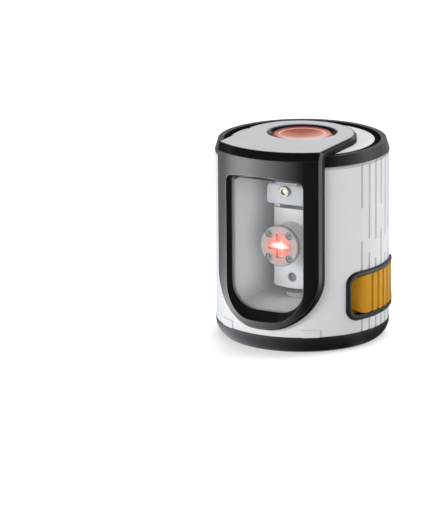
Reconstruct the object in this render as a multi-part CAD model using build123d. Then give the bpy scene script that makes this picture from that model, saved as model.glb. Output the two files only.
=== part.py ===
from build123d import *
import math
import os

# A compact self-levelling cross line laser level, in millimetres.
# The origin is the centre of the underside, +Z is up, the window faces -Y and the lock slider is on +X.

# Drum and base
BODY_RADIUS = 32.5
BODY_WALL = 2.2
BODY_HEIGHT = 64.2
BASE_HEIGHT = 6.3
BASE_FOOT_SET = 2.8
BASE_BULGE_SET = 0.6
BASE_BULGE_SHARE = 0.42
BASE_LIP = 0.1
BASE_FLOOR = 3.0
BASE_SPIGOT = 1.7
BASE_SPIGOT_WALL = 1.8
SPIGOT_FIT = 0.1
SEAM_HEIGHT = 0.6
SEAM_DEPTH = 0.4

# Side grooves, counted from the middle of each side outwards
GROOVE_PITCH = 7.1
GROOVE_RADIUS = 0.5
GROOVE_DEPTH = 0.42
GROOVE_BREAK_MIDDLES = (48.1, 36.6, 38.4, 47.1)
GROOVE_BREAK_LENGTHS = (10.2, 7.8, 6.1, 13.1)

# Snap pads at the foot of the drum, each side of the window
SNAP_ANGLE = 32.0
SNAP_WIDTH = 6.6
SNAP_HEIGHT = 2.8
SNAP_RAISE = 0.4

# Top ring and cover
RING_HEIGHT = 3.85
RING_LIP = 0.05
RING_SHOULDER_SET = 1.1
RING_CREST_SET = 3.2
RING_INNER_STEP = 0.1
COVER_SET = 5.5
COVER_DROP = 0.5
COVER_THICKNESS = 2.2
COVER_SPIGOT = 2.2
COVER_SPIGOT_WALL = 2.0
COVER_HAUNCH = 2.0
COVER_HAUNCH_DROP = 0.6
RING_SEAT = 1.25

# Black band: up the front and over the top
BAND_RAISE = 2.5
BAND_HALF = 21.4
BAND_BOTTOM = 9.0
BAND_CORNER_SET = 1.9
BAND_EDGE = 0.85
BAND_CREST = 2.35
BAND_BROW_HEIGHT = 3.1
BAND_BROW_SET = 1.2
BAND_REAR_CENTRE = -2.5
BAND_GAP = 0.1

# Silver plate on the band
PLATE_THICKNESS = 0.8
PLATE_INSET = 0.25
PLATE_FIT = 0.05

# Window
PANE_SET = 3.7
PANE_THICKNESS = 1.5
PANE_LAP = 1.0
PANE_FIT = 0.1
SEAL_THICKNESS = 0.7
SEAL_WIDTH = 0.9
WINDOW_HALF = 14.75
WINDOW_BOTTOM = 14.7
WINDOW_TOP_SET = 6.1
WINDOW_CORNER = 10.0
WINDOW_TOP_CORNER = 1.2
WINDOW_FLARE = 22.8
WINDOW_FRAME = 2.4
WINDOW_FIT = 0.2

# Push button
WELL_RADIUS = 13.25
WELL_DEPTH = 1.4
WELL_EDGE = 0.3
WELL_FIT = 0.1
BUTTON_RADIUS = 11.45
BUTTON_FIT = 0.3
BUTTON_DROP = 0.45
BUTTON_RIM = 1.45
BUTTON_LAND = 0.35
BUTTON_SLOPE = 0.7
BUTTON_DISH = 0.9
BUTTON_WALL = 1.5
BUTTON_TRAVEL = 1.0
BUTTON_FLANGE = 1.25
BUTTON_FLANGE_HEIGHT = 1.0
BUTTON_STOP_GAP = 0.3
STEM_RADIUS = 1.8

# Circuit board
BOARD_GAP = 6.3
BOARD_THICKNESS = 1.6
BOARD_DROP = 3.65
BOARD_POST_RADIUS = 2.2
BOARD_POST_INSET = 4.0
BOARD_POSTS = 3
SWITCH_SIZE = 6.0
SWITCH_HEIGHT = 3.4
PLUNGER_RADIUS = 1.75
PLUNGER_LENGTH = 2.0
PLUNGER_PROUD = 0.8
RUNNING_GAP = 0.06
LED_RADIUS = 1.5
LED_HEIGHT = 3.0
LED_OFFSET = 6.0

# Lock slider and its frame
FRAME_HALF = 18.3
FRAME_BOTTOM = 11.0
FRAME_HEIGHT = 18.6
FRAME_CORNER = 4.5
FRAME_RAISE = 0.95
FRAME_EDGE = 0.6
FRAME_RIM = 1.5
FRAME_FOOT_RIM = 2.05
FRAME_SIDE_RIM = 0.95
FRAME_INNER_CORNER = 3.6
FRAME_TONGUE_HALF = 13.0
FRAME_TONGUE_DEPTH = 1.8
FRAME_FIT = 0.15
FRAME_LAP = 0.75
SLIDER_TRAVEL = 6.0
SLIDER_PLATE = 1.9
SLIDER_PLATE_HALF_ANGLE = 42.5
SLIDER_PLATE_LAP = 0.8
SLIDER_GAP = 0.2
GRIP_RAISE = 0.95
GRIP_TOP_HALF_ANGLE = 16.0
GRIP_ROLL_HALF_ANGLE = 23.0
GRIP_ROLL_DROP = 1.0
GRIP_FOOT_HALF_ANGLE = 28.5
GRIP_GAP = 0.25
GRIP_CORNER = 3.6
FLUTE_COUNT = 5
FLUTE_PITCH = 6.6
FLUTE_RADIUS = 0.8
FLUTE_DEPTH = 0.55

# Brake under the pendulum, lifted by a ramp behind the slider
BRAKE_LIFT = 1.4
BRAKE_GAP = 0.3
CAM_STEP = 2.2
CAM_HALF_ANGLE = 7.0
CAM_LEG = 3.0
CAM_BOTTOM = 5.2
CAM_TOP = 20.0
CAM_WIDTH = 5.0
CAM_LEAD = 2.0
CAM_RUN_OUT = 4.3
CAM_GAP = 0.25
RAMP_HEIGHT = 7.6
CAM_SCREW_RADIUS = 1.0
CAM_SPOT = 0.3
CAM_SCREW_HEIGHT = 17.0
CARRIER_BOTTOM = 9.2
CARRIER_THICKNESS = 1.4
CARRIER_HALF = 3.0
CARRIER_SET = 3.5
CARRIER_TAIL = 12.5
FOLLOWER_HALF = 0.8
FOLLOWER_LENGTH = 3.0
GUIDE_RADIUS = 1.5
GUIDE_REACH = 10.5
GUIDE_END_GAP = 0.4
COLUMN_RADIUS = 3.0
COLUMN_HEIGHT = 4.3
COLUMN_GAP = 0.6
PAD_RADIUS = 4.5
PAD_THICKNESS = 1.4

# Chamber that holds the works
CHASSIS_FLOOR = 12.8
CHASSIS_PLATE = 1.5
CHASSIS_INNER_HALF = 15.0
CHASSIS_WALL = 2.2
CHASSIS_HEADROOM = 0.7
CHASSIS_GAP = 0.3
POST_RADIUS = 2.4
POST_X = 14.0
POST_FRONT_SET = 12.3
POST_REAR_SET = 3.4
EAR_RADIUS = 2.2
EAR_X = 17.0
EAR_HEIGHT = 12.0
EAR_YS = (-9.0, 6.0)

# Gimbal
PIVOT_Y = -3.5
PIVOT_SET = 5.5
PIN_RADIUS = 1.0
PIN_GAP = 0.05
BUSH_RADIUS = 2.0
HANGER_PLATE = 2.0
HANGER_OVERHANG = 2.0
ARM_HALF = 8.0
ARM_THICKNESS = 3.0
ARM_INNER = 7.5
ARM_BELOW_PIVOT = 5.3
ARM_EDGE = 0.5
ARM_CORNER = 2.4
ARM_FOOT_CORNER = 1.2
ARM_TOP_SET = 2.9
ARM_NECK_HALF = 4.5
BUSH_PROUD = 1.6
GIMBAL_HALF_X = 4.6
GIMBAL_HALF_Y = 5.0
GIMBAL_HALF_Z = 4.3
GIMBAL_EDGE = 0.8
PIN_CORE = 1.5

# Pendulum
PENDULUM_HALF = 8.0
PENDULUM_FRONT = 8.7
PENDULUM_REAR = 2.8
PENDULUM_NECK = 8.0
PENDULUM_EDGE = 0.8
EAR_GAP = 1.0
PENDULUM_EAR_HALF = 4.0

# Laser
BEAM_SET = 19.8
BARREL_RADIUS = 7.0
BARREL_LENGTH = 9.0
BARREL_SHANK_RADIUS = 5.5
BARREL_SHANK = 10.2
BARREL_BORE = 4.0
OPTIC_RADIUS = 7.8
OPTIC_THICKNESS = 1.7
OPTIC_SLOT = 2.6
OPTIC_SLOT_LENGTH = 9.0
OPTIC_SCREW_X = 4.2
OPTIC_SCREW_Z = 4.4
LENS_RADIUS = 1.2
LENS_LENGTH = 7.6
LENS_DEPTH = 1.2
LENS_STEP = 2.7
COLLIMATOR_THICKNESS = 2.0
COLLIMATOR_DEPTH = 7.0
DIODE_RADIUS = 2.35
DIODE_CAN = 3.5
DIODE_FLANGE = 1.5
DIODE_INSET = 1.0
DIODE_LEAD_RADIUS = 0.25
DIODE_LEAD_LENGTH = 0.8
DIODE_LEAD_DISTANCE = 1.3

# Balance and damping
TRIM_RADIUS = 1.8
TRIM_RISE = 4.7
TRIM_DEPTH = 5.0
TRIM_LENGTH = 3.5
TRIM_SIDE_SET = 10.0
TRIM_SIDE_Y = -1.0
COPPER_THICKNESS = 1.0
COPPER_HALF = 7.0
COPPER_RISE = 3.0
COPPER_LENGTH = 12.0
MAGNET_RADIUS = 4.2
MAGNET_THICKNESS = 2.4
MAGNET_X = 4.6

# Cells
CELL_RADIUS = 7.25
CELL_HEADROOM = 4.3
CELL_NUB_RADIUS = 2.75
CELL_NUB = 1.0
CELL_X = 7.6
CELL_WALL_GAP = 0.53
CELL_BOTTOM = 11.6
TRAY_WALL = 1.4
TRAY_GAP = 0.3
TRAY_FLOOR = 8.4
TRAY_CLEARANCE = 0.7
TRAY_LEG_RADIUS = 2.2
TRAY_LEG_X = 9.0
CONTACT_THICKNESS = 0.5
CONTACT_HALF = 4.0
SPRING_THICKNESS = 0.4
SPRING_HALF = 5.0
SPRING_WIDTH = 6.0

# Rear battery door
DOOR_HALF = 16.0
DOOR_BOTTOM = 9.5
DOOR_TOP_SET = 4.0
DOOR_CORNER = 2.0
DOOR_GAP = 0.25
HINGE_INSET = 1.0
HINGE_GAP = 1.4
HINGE_DEPTH = 0.9
HINGE_PIN_RADIUS = 0.55
LUG_LENGTH = 7.0
LUG_SHARES = (0.25, 0.75)
LUG_END_GAP = 0.25
SCOOP_RADIUS = 4.0
SCOOP_STANDOFF = 2.8
SCOOP_LENGTH = 10.0

# Tripod thread, 1/4 inch with 20 turns to the inch, drawn as its plain core hole
THREAD_RADIUS = 2.55
INSERT_RADIUS = 5.0
INSERT_LENGTH = 8.0
BOSS_RADIUS = 7.5

# Screws
SCREW_RADIUS = 1.2
SCREW_HEAD_RADIUS = 2.2
SCREW_HEAD_HEIGHT = 1.3
SCREW_HEAD_INSET = 0.2
SCREW_LENGTH = 9.0
SCREW_CLEARANCE = 0.15
HANGER_SCREW_RADIUS = 0.9
HANGER_SCREW_HEAD = 1.7
HANGER_SCREW_LENGTH = 8.0
BOARD_SCREW_RADIUS = 0.9
BOARD_SCREW_LENGTH = 4.0
OPTIC_SCREW_RADIUS = 0.8
OPTIC_SCREW_HEAD = 1.4
OPTIC_SCREW_HEAD_HEIGHT = 0.6
OPTIC_SCREW_LENGTH = 4.5
SMALL_HEAD_HEIGHT = 1.2

# Worked out from the sizes above
BODY_INNER = BODY_RADIUS - BODY_WALL
BODY_TOP = BASE_HEIGHT + BODY_HEIGHT
COVER_RADIUS = BODY_RADIUS - COVER_SET
PANE_DISTANCE = BODY_RADIUS - PANE_SET
WINDOW_TOP = BODY_TOP - WINDOW_TOP_SET
BASE_SPIGOT_TOP = BASE_HEIGHT + BASE_SPIGOT
CREST_Z = BODY_TOP + RING_HEIGHT
COVER_Z = CREST_Z - COVER_DROP
COVER_UNDER = COVER_Z - COVER_THICKNESS
BAND_RADIUS = BODY_RADIUS + BAND_RAISE
BAND_CORNER = BAND_HALF - BAND_CORNER_SET
BAND_TOP = CREST_Z + BAND_CREST
PLATE_UNDER = BAND_TOP - PLATE_THICKNESS
BUTTON_HOLE = BUTTON_RADIUS + BUTTON_FIT
BUTTON_TOP = BAND_TOP - BUTTON_DROP
BOARD_TOP = COVER_UNDER - BOARD_DROP
BOARD_UNDER = BOARD_TOP - BOARD_THICKNESS
BOARD_RADIUS = BODY_INNER - BOARD_GAP
BOARD_POST_DISTANCE = BOARD_RADIUS - BOARD_POST_INSET
FRAME_TOP = FRAME_BOTTOM + FRAME_HEIGHT
FRAME_RADIUS = BODY_RADIUS + FRAME_RAISE
SLIDER_OUTER = BODY_INNER - SLIDER_GAP
SLIDER_INNER = SLIDER_OUTER - SLIDER_PLATE
GRIP_RADIUS = BODY_RADIUS + GRIP_RAISE
CAM_RADIUS = SLIDER_INNER - CAM_LEG - CAM_STEP
FLOOR_TOP = CHASSIS_FLOOR + CHASSIS_PLATE
CHASSIS_OUTER_HALF = CHASSIS_INNER_HALF + CHASSIS_WALL
CELL_LENGTH = BOARD_UNDER - CELL_BOTTOM - CELL_HEADROOM
CELL_Y = math.sqrt((BODY_INNER - CELL_WALL_GAP - CELL_RADIUS) ** 2 - CELL_X ** 2)
CHASSIS_BACK_OUTER = CELL_Y - CELL_RADIUS - 2 * TRAY_GAP - TRAY_WALL
CHASSIS_BACK = CHASSIS_BACK_OUTER - CHASSIS_PLATE
CHASSIS_TOP = BOARD_UNDER - SMALL_HEAD_HEIGHT - HANGER_PLATE - CHASSIS_HEADROOM
POST_FRONT_Y = POST_FRONT_SET - BODY_INNER
POST_REAR_Y = CHASSIS_BACK - POST_REAR_SET
PIVOT_Z = CHASSIS_TOP - PIVOT_SET
BEAM_Z = PIVOT_Z - BEAM_SET
PENDULUM_TOP = PIVOT_Z - PENDULUM_NECK
PANE_BACK = PANE_DISTANCE - PANE_THICKNESS
COLLAR_BACK = PANE_BACK - SEAL_THICKNESS
RAMP_SLOPE = BRAKE_LIFT / (CAM_RADIUS * math.sin(math.radians(SLIDER_TRAVEL)))
CARRIER_TOP = CARRIER_BOTTOM + CARRIER_THICKNESS
CARRIER_REACH = CAM_RADIUS - CARRIER_SET
PENDULUM_BOTTOM = CARRIER_TOP + COLUMN_HEIGHT + PAD_THICKNESS + BRAKE_LIFT + BRAKE_GAP
PENDULUM_DROP = PIVOT_Z - PENDULUM_BOTTOM
TRIM_HEIGHT = PENDULUM_BOTTOM + TRIM_RISE
TRIM_SIDE_HEIGHT = BEAM_Z - TRIM_SIDE_SET
COPPER_BOTTOM = PENDULUM_BOTTOM + COPPER_RISE
COPPER_TOP = COPPER_BOTTOM + COPPER_LENGTH
DOOR_TOP = BODY_TOP - DOOR_TOP_SET
LUG_CENTRES = [DOOR_BOTTOM + share * (DOOR_TOP - DOOR_BOTTOM) for share in LUG_SHARES]
HINGE_X = HINGE_INSET - DOOR_HALF
HINGE_Y = math.sqrt((BODY_RADIUS - HINGE_DEPTH) ** 2 - HINGE_X ** 2)
FAR = 2 * BODY_RADIUS


def box(x0, x1, y0, y1, z0, z1):
    """A box between two corners."""
    return Pos((x0 + x1) / 2, (y0 + y1) / 2, (z0 + z1) / 2) * Box(x1 - x0, y1 - y0, z1 - z0)


def upright(radius, z0, z1, x=0.0, y=0.0):
    """A cylinder along Z."""
    return Pos(x, y, (z0 + z1) / 2) * Cylinder(radius, z1 - z0)


def fore_aft(radius, y0, y1, x=0.0, z=0.0):
    """A cylinder along Y."""
    return Pos(x, (y0 + y1) / 2, z) * Rot(90, 0, 0) * Cylinder(radius, y1 - y0)


def crosswise(radius, x0, x1, y=0.0, z=0.0):
    """A cylinder along X."""
    return Pos((x0 + x1) / 2, y, z) * Rot(0, 90, 0) * Cylinder(radius, x1 - x0)


def pipe(outer, inner, z0, z1):
    """A tube along Z, on the drum's axis."""
    return upright(outer, z0, z1) - upright(inner, z0 - 1, z1 + 1)


def turned(points):
    """A solid of revolution about Z from a closed (radius, height) outline."""
    return revolve(make_face(Polyline(*[(r, 0, z) for r, z in points], close=True)), Axis.Z)


def rounded(half, bottom, top, low_corner, high_corner):
    """A rectangle with one radius for its lower corners and one for its upper corners."""
    outline = Rectangle(2 * half, top - bottom)
    outline = fillet(outline.vertices().group_by(Axis.Y)[0], low_corner)
    if high_corner > 0:
        outline = fillet(outline.vertices().group_by(Axis.Y)[-1], high_corner)
    return Pos(0, (bottom + top) / 2) * outline


def window_outline(margin):
    """The window's outline on the front plane, grown by a margin."""
    return rounded(
        WINDOW_HALF + margin,
        WINDOW_BOTTOM - margin,
        WINDOW_TOP + margin,
        WINDOW_CORNER + margin,
        WINDOW_TOP_CORNER + margin,
    )


def front_prism(outline, near, far):
    """An outline on the front plane, made solid between two distances from the axis."""
    return extrude(Plane.XZ.offset(near) * outline, far - near)


def right_prism(outline, near, far, taper=0.0):
    """An outline on the right side's plane, made solid outwards between two distances."""
    return extrude(Plane.YZ.offset(near) * outline, far - near, taper=taper)


def sector(half_angle, z0, z1):
    """A wedge about +X, wide enough to cut the whole drum."""
    a = math.radians(half_angle)
    reach = FAR / math.cos(a)
    corners = [(0, 0), (reach * math.cos(a), -reach * math.sin(a)), (reach * math.cos(a), reach * math.sin(a))]
    return Pos(0, 0, z0) * extrude(make_face(Polyline(*corners, close=True)), z1 - z0)


def polar(radius, degrees):
    """A point on a circle, with the angle counted from +X."""
    a = math.radians(degrees)
    return (radius * math.cos(a), radius * math.sin(a))


def post_places():
    """Where the chassis stands on the base."""
    return [(x, y) for x in (-POST_X, POST_X) for y in (POST_FRONT_Y, POST_REAR_Y)]


def ear_places():
    """Where the hanger is screwed to the chassis."""
    return [(x, y) for x in (-EAR_X, EAR_X) for y in EAR_YS]


def board_places():
    """Where the circuit board hangs from the cover."""
    return [polar(BOARD_POST_DISTANCE, 60 + 360 * i / BOARD_POSTS) for i in range(BOARD_POSTS)]


def door_outline(margin):
    """The door's outline seen from behind."""
    return rounded(
        DOOR_HALF + margin, DOOR_BOTTOM - margin, DOOR_TOP + margin, DOOR_CORNER + margin, DOOR_CORNER + margin
    )


def door_scoop():
    """The finger hollow at the door's free edge."""
    along = math.atan2(math.sqrt(BODY_RADIUS ** 2 - DOOR_HALF ** 2), DOOR_HALF)
    x, y = polar(BODY_RADIUS + SCOOP_STANDOFF, math.degrees(along))
    middle = (DOOR_BOTTOM + DOOR_TOP) / 2
    return upright(SCOOP_RADIUS, middle - SCOOP_LENGTH / 2, middle + SCOOP_LENGTH / 2, x, y)


def make_grooves():
    """Soft upright flutes on both sides of the drum, each with a break in its length."""
    cuts = []
    top = BODY_TOP - SEAM_HEIGHT
    out = BODY_RADIUS + GROOVE_RADIUS - GROOVE_DEPTH
    last = len(GROOVE_BREAK_MIDDLES) - 1
    for side in (0, 180):
        for step in range(-last, last + 1):
            middle = GROOVE_BREAK_MIDDLES[abs(step)]
            half = GROOVE_BREAK_LENGTHS[abs(step)] / 2
            turn = Rot(0, 0, side + step * GROOVE_PITCH)
            for far, near in ((BASE_HEIGHT - 1, middle - half), (top, middle + half)):
                flute = upright(GROOVE_RADIUS, min(far, near), max(far, near), out)
                cuts.append(turn * (flute + Pos(out, 0, near) * Sphere(GROOVE_RADIUS)))
    return cuts


def make_snap_pads():
    """Raised pads at the drum's foot, over the base's snap hooks."""
    ring = pipe(BODY_RADIUS + SNAP_RAISE, BODY_RADIUS - BODY_WALL / 2, BASE_HEIGHT, BASE_HEIGHT + SNAP_HEIGHT)
    half = SNAP_WIDTH / 2
    blank = box(0, FAR, -half, half, BASE_HEIGHT, BASE_HEIGHT + SNAP_HEIGHT)
    return [ring & (Rot(0, 0, angle) * blank) for angle in (-90 - SNAP_ANGLE, -90 + SNAP_ANGLE)]


def make_body_shell():
    """White drum with its window, slider and door openings, grooves and door lugs."""
    shell = pipe(BODY_RADIUS, BODY_INNER, BASE_HEIGHT, BODY_TOP)
    shell -= pipe(FAR, BODY_RADIUS - SEAM_DEPTH, BODY_TOP - SEAM_HEIGHT, BODY_TOP + 1)
    shell -= front_prism(window_outline(PANE_LAP + WINDOW_FRAME + WINDOW_FIT), 0, FAR)
    lap = FRAME_LAP
    slot = rounded(FRAME_HALF - lap, FRAME_BOTTOM + lap, FRAME_TOP - lap, FRAME_CORNER - lap, FRAME_CORNER - lap)
    shell -= right_prism(slot, 0, FAR)
    shell -= extrude(Plane.XZ * door_outline(DOOR_GAP), -FAR)
    shell -= box(HINGE_X - HINGE_GAP, 0, 0, FAR, DOOR_BOTTOM - DOOR_GAP, DOOR_TOP + DOOR_GAP)
    for z in LUG_CENTRES:
        low = z - LUG_LENGTH / 2
        high = z + LUG_LENGTH / 2
        web = box(HINGE_X - HINGE_GAP - 1, HINGE_X, HINGE_Y - HINGE_DEPTH, HINGE_Y + 0.1, low, high)
        web &= pipe(BODY_RADIUS, BODY_INNER, low, high)
        shell += web + upright(HINGE_DEPTH, low, high, HINGE_X, HINGE_Y)
        shell -= upright(HINGE_PIN_RADIUS, low - 1, high + 1, HINGE_X, HINGE_Y)
    shell -= door_scoop()
    return shell - make_grooves() + make_snap_pads()


def make_battery_door():
    """Curved rear door, with its knuckles in the wall's own thickness."""
    door = pipe(BODY_RADIUS, BODY_INNER, DOOR_BOTTOM, DOOR_TOP)
    door &= extrude(Plane.XZ * door_outline(0), -FAR)
    door -= box(-FAR, HINGE_X, 0, FAR, 0, BODY_TOP)
    knuckle = upright(HINGE_DEPTH, DOOR_BOTTOM + DOOR_CORNER, DOOR_TOP - DOOR_CORNER, HINGE_X, HINGE_Y)
    door += knuckle
    reach = HINGE_DEPTH + DOOR_GAP
    for z in LUG_CENTRES:
        half = LUG_LENGTH / 2 + LUG_END_GAP
        door -= box(HINGE_X - FAR, HINGE_X + reach, 0, FAR, z - half, z + half)
    door -= upright(HINGE_PIN_RADIUS + PIN_GAP, 0, BODY_TOP, HINGE_X, HINGE_Y)
    return door - door_scoop()


def make_door_pin():
    """Steel pin through the lugs and knuckles."""
    return upright(HINGE_PIN_RADIUS, DOOR_BOTTOM + DOOR_CORNER, DOOR_TOP - DOOR_CORNER, HINGE_X, HINGE_Y)


def make_base_plate():
    """Black base: rounded foot, spigot into the drum, thread boss and brake guides."""
    foot = (BODY_RADIUS - BASE_FOOT_SET, 0, 0)
    rim = (BODY_RADIUS + BASE_LIP, 0, BASE_HEIGHT)
    bulge = (BODY_RADIUS - BASE_BULGE_SET, 0, BASE_HEIGHT * BASE_BULGE_SHARE)
    spigot = BODY_INNER - SPIGOT_FIT
    inner = spigot - BASE_SPIGOT_WALL
    flat = [(spigot, BASE_HEIGHT), (spigot, BASE_SPIGOT_TOP), (inner, BASE_SPIGOT_TOP), (inner, BASE_FLOOR)]
    flat = [rim] + [(r, 0, z) for r, z in flat] + [(0, 0, BASE_FLOOR), (0, 0, 0), foot]
    outline = Curve() + [ThreePointArc(foot, bulge, rim), Polyline(*flat)]
    base = revolve(make_face(outline), Axis.Z)
    base += upright(BOSS_RADIUS, 0, INSERT_LENGTH)
    base -= upright(INSERT_RADIUS, -1, BASE_HEIGHT + INSERT_LENGTH)
    for x in (-GUIDE_REACH, GUIDE_REACH):
        base += upright(GUIDE_RADIUS, 0, CHASSIS_FLOOR - GUIDE_END_GAP, x, PIVOT_Y)
    for x, y in post_places():
        base -= upright(SCREW_RADIUS + SCREW_CLEARANCE, -1, BASE_HEIGHT, x, y)
        base -= upright(SCREW_HEAD_RADIUS + SCREW_CLEARANCE, -1, SCREW_HEAD_INSET + SCREW_HEAD_HEIGHT, x, y)
    return base


def make_tripod_insert():
    """Brass threaded insert in the middle of the underside."""
    return pipe(INSERT_RADIUS, THREAD_RADIUS, 0, INSERT_LENGTH)


def make_base_screws():
    """Four screws from the underside up into the chassis posts."""
    head_top = SCREW_HEAD_INSET + SCREW_HEAD_HEIGHT
    screws = []
    for x, y in post_places():
        head = upright(SCREW_HEAD_RADIUS, SCREW_HEAD_INSET, head_top, x, y)
        screws.append(head + upright(SCREW_RADIUS, head_top - 0.1, head_top + SCREW_LENGTH, x, y))
    return screws


def make_top_cover():
    """White disc with a spigot into the drum, a button hole and posts for the board."""
    seat = BODY_TOP + RING_SEAT
    spigot = BODY_INNER - SPIGOT_FIT
    cover = turned([
        (0, COVER_Z), (COVER_RADIUS, COVER_Z), (COVER_RADIUS, seat), (spigot, seat),
        (spigot, BODY_TOP - COVER_SPIGOT), (spigot - COVER_SPIGOT_WALL, BODY_TOP - COVER_SPIGOT),
        (spigot - COVER_SPIGOT_WALL, COVER_UNDER - COVER_HAUNCH_DROP), (COVER_RADIUS - COVER_HAUNCH, COVER_UNDER),
        (0, COVER_UNDER),
    ])
    for x, y in board_places():
        cover += upright(BOARD_POST_RADIUS, BOARD_TOP, COVER_Z - COVER_THICKNESS / 2, x, y)
        cover -= upright(BOARD_SCREW_RADIUS, BOARD_TOP - 1, BOARD_UNDER + BOARD_SCREW_LENGTH, x, y)
    return cover - upright(BUTTON_HOLE, BOARD_TOP, FAR + BODY_HEIGHT)


def make_top_ring():
    """Black bumper ring on the drum's top edge."""
    seat = BODY_TOP + RING_SEAT
    inner = BODY_INNER - SPIGOT_FIT
    return turned([
        (COVER_RADIUS, seat), (inner, seat), (inner, BODY_TOP), (BODY_RADIUS + RING_LIP, BODY_TOP),
        (BODY_RADIUS - RING_SHOULDER_SET, CREST_Z), (BODY_RADIUS - RING_CREST_SET, CREST_Z),
        (COVER_RADIUS, COVER_Z + RING_INNER_STEP),
    ])


def band_plan(inset):
    """The band's outline from above: straight sides and a round rear end."""
    half = BAND_HALF - inset
    strip = Pos(0, BAND_REAR_CENTRE - FAR / 2) * Rectangle(2 * half, FAR)
    return strip + Pos(0, BAND_REAR_CENTRE) * Circle(half)


def well_cone():
    """The black well round the button."""
    cone = Cone(BUTTON_HOLE, WELL_RADIUS, WELL_DEPTH)
    return Pos(0, 0, BAND_TOP - WELL_DEPTH / 2) * cone + upright(BUTTON_HOLE, CREST_Z - RING_HEIGHT, BAND_TOP)


def make_front_bezel():
    """Black band: a U round the window, folded over the top and bevelled along its edge."""
    over_ring = CREST_Z + BAND_GAP
    inside = BODY_RADIUS + BAND_GAP
    brow = BAND_TOP - BAND_BROW_HEIGHT
    band = turned([
        (0, COVER_Z), (COVER_RADIUS - BAND_GAP, COVER_Z), (COVER_RADIUS - BAND_GAP, over_ring), (inside, over_ring),
        (inside, 0), (BAND_RADIUS, 0), (BAND_RADIUS, brow), (BAND_RADIUS - BAND_BROW_SET, BAND_TOP), (0, BAND_TOP),
    ])
    front = rounded(BAND_HALF, BAND_BOTTOM, FAR + BODY_HEIGHT, BAND_CORNER, 0)
    band &= extrude(Plane.XZ.offset(-FAR) * front, 2 * FAR)
    band &= extrude(band_plan(0), FAR + BODY_HEIGHT)
    band = chamfer(bevel_edges(band), BAND_EDGE)
    collar = front_prism(window_outline(PANE_LAP + WINDOW_FRAME), COLLAR_BACK, FAR)
    collar &= upright(BAND_RADIUS - BAND_RAISE / 2, 0, BODY_TOP)
    band += collar
    band -= extrude(Plane.XZ.offset(PANE_DISTANCE) * window_outline(0), FAR / 6, taper=-WINDOW_FLARE)
    band -= front_prism(window_outline(PANE_LAP + PANE_FIT), 0, PANE_DISTANCE)
    band -= plate_blank(PLATE_INSET - PLATE_FIT, BAND_TOP + 1)
    band += upright(WELL_RADIUS - WELL_FIT, PLATE_UNDER - PLATE_THICKNESS, BAND_TOP - WELL_EDGE)
    return band - well_cone()


def bevel_edges(band):
    """The band's outer rim: edges on its outside face that lie on the cut outline."""
    found = []
    for edge in band.edges():
        middle = edge @ 0.5
        out = math.hypot(middle.X, middle.Y)
        brow = BAND_TOP - BAND_BROW_HEIGHT
        on_face = abs(out - BAND_RADIUS) < 0.01 and middle.Z < brow - 0.01
        on_top = middle.Z > BAND_TOP - 0.01 and out < BAND_RADIUS - BAND_BROW_SET - 0.01
        on_brow = brow + 0.01 < middle.Z < BAND_TOP - 0.01 and abs(middle.X) > BAND_HALF - 0.01
        on_brow = on_brow and out > BAND_RADIUS - BAND_BROW_SET
        if on_face or on_top or on_brow:
            found.append(edge)
    return found


def plate_blank(inset, top):
    """The silver plate's outline as a solid from its underside up."""
    plan = band_plan(BAND_EDGE + inset) & Circle(BAND_RADIUS - BAND_BROW_SET - inset)
    return Pos(0, 0, PLATE_UNDER) * extrude(plan, top - PLATE_UNDER)


def make_top_plate():
    """Silver plate let into the band's top, round the button's well."""
    return plate_blank(PLATE_INSET, BAND_TOP) - upright(WELL_RADIUS, CREST_Z, FAR + BODY_HEIGHT)


def make_window_pane():
    """Flat clear window."""
    return front_prism(window_outline(PANE_LAP), PANE_BACK, PANE_DISTANCE)


def make_pane_seal():
    """Gasket that holds the pane in its rebate."""
    seal = front_prism(window_outline(PANE_LAP), COLLAR_BACK, PANE_BACK)
    return seal - front_prism(window_outline(PANE_LAP - SEAL_WIDTH), COLLAR_BACK - 1, PANE_BACK + 1)


def make_button_cap():
    """Red dished cap, held under the cover by a flange, with a stem to the switch."""
    rim = BUTTON_RADIUS - BUTTON_RIM
    inner = BUTTON_RADIUS - BUTTON_WALL
    flange = BUTTON_RADIUS + BUTTON_FLANGE
    flange_top = COVER_UNDER - BUTTON_STOP_GAP
    flange_under = flange_top - BUTTON_FLANGE_HEIGHT
    under = BUTTON_TOP - BUTTON_DISH - BUTTON_WALL
    plunger_top = BOARD_TOP + SWITCH_HEIGHT + PLUNGER_PROUD
    cap = turned([
        (0, BUTTON_TOP), (0, plunger_top), (STEM_RADIUS, plunger_top), (STEM_RADIUS, under), (inner, under),
        (inner, flange_under), (flange, flange_under), (flange, flange_top), (BUTTON_RADIUS, flange_top),
        (BUTTON_RADIUS, BUTTON_TOP - BUTTON_SLOPE), (rim + BUTTON_LAND, BUTTON_TOP),
    ])
    ball = (rim ** 2 + BUTTON_DISH ** 2) / (2 * BUTTON_DISH)
    return cap - Pos(0, 0, BUTTON_TOP - BUTTON_DISH + ball) * Sphere(ball)


def make_switch_plunger():
    """The switch's own plunger, under the cap's stem."""
    top = BOARD_TOP + SWITCH_HEIGHT + PLUNGER_PROUD
    return upright(PLUNGER_RADIUS, top - PLUNGER_LENGTH, top)


def make_push_switch():
    """Square push switch on the board."""
    half = SWITCH_SIZE / 2
    body = box(-half, half, -half, half, BOARD_TOP, BOARD_TOP + SWITCH_HEIGHT)
    body = chamfer(body.edges().filter_by(Axis.Z), SWITCH_SIZE / 12)
    top = BOARD_TOP + SWITCH_HEIGHT + PLUNGER_PROUD
    bottom = top - PLUNGER_LENGTH - BUTTON_TRAVEL - RUNNING_GAP
    return body - upright(PLUNGER_RADIUS + RUNNING_GAP, bottom, FAR + BODY_HEIGHT)


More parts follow.
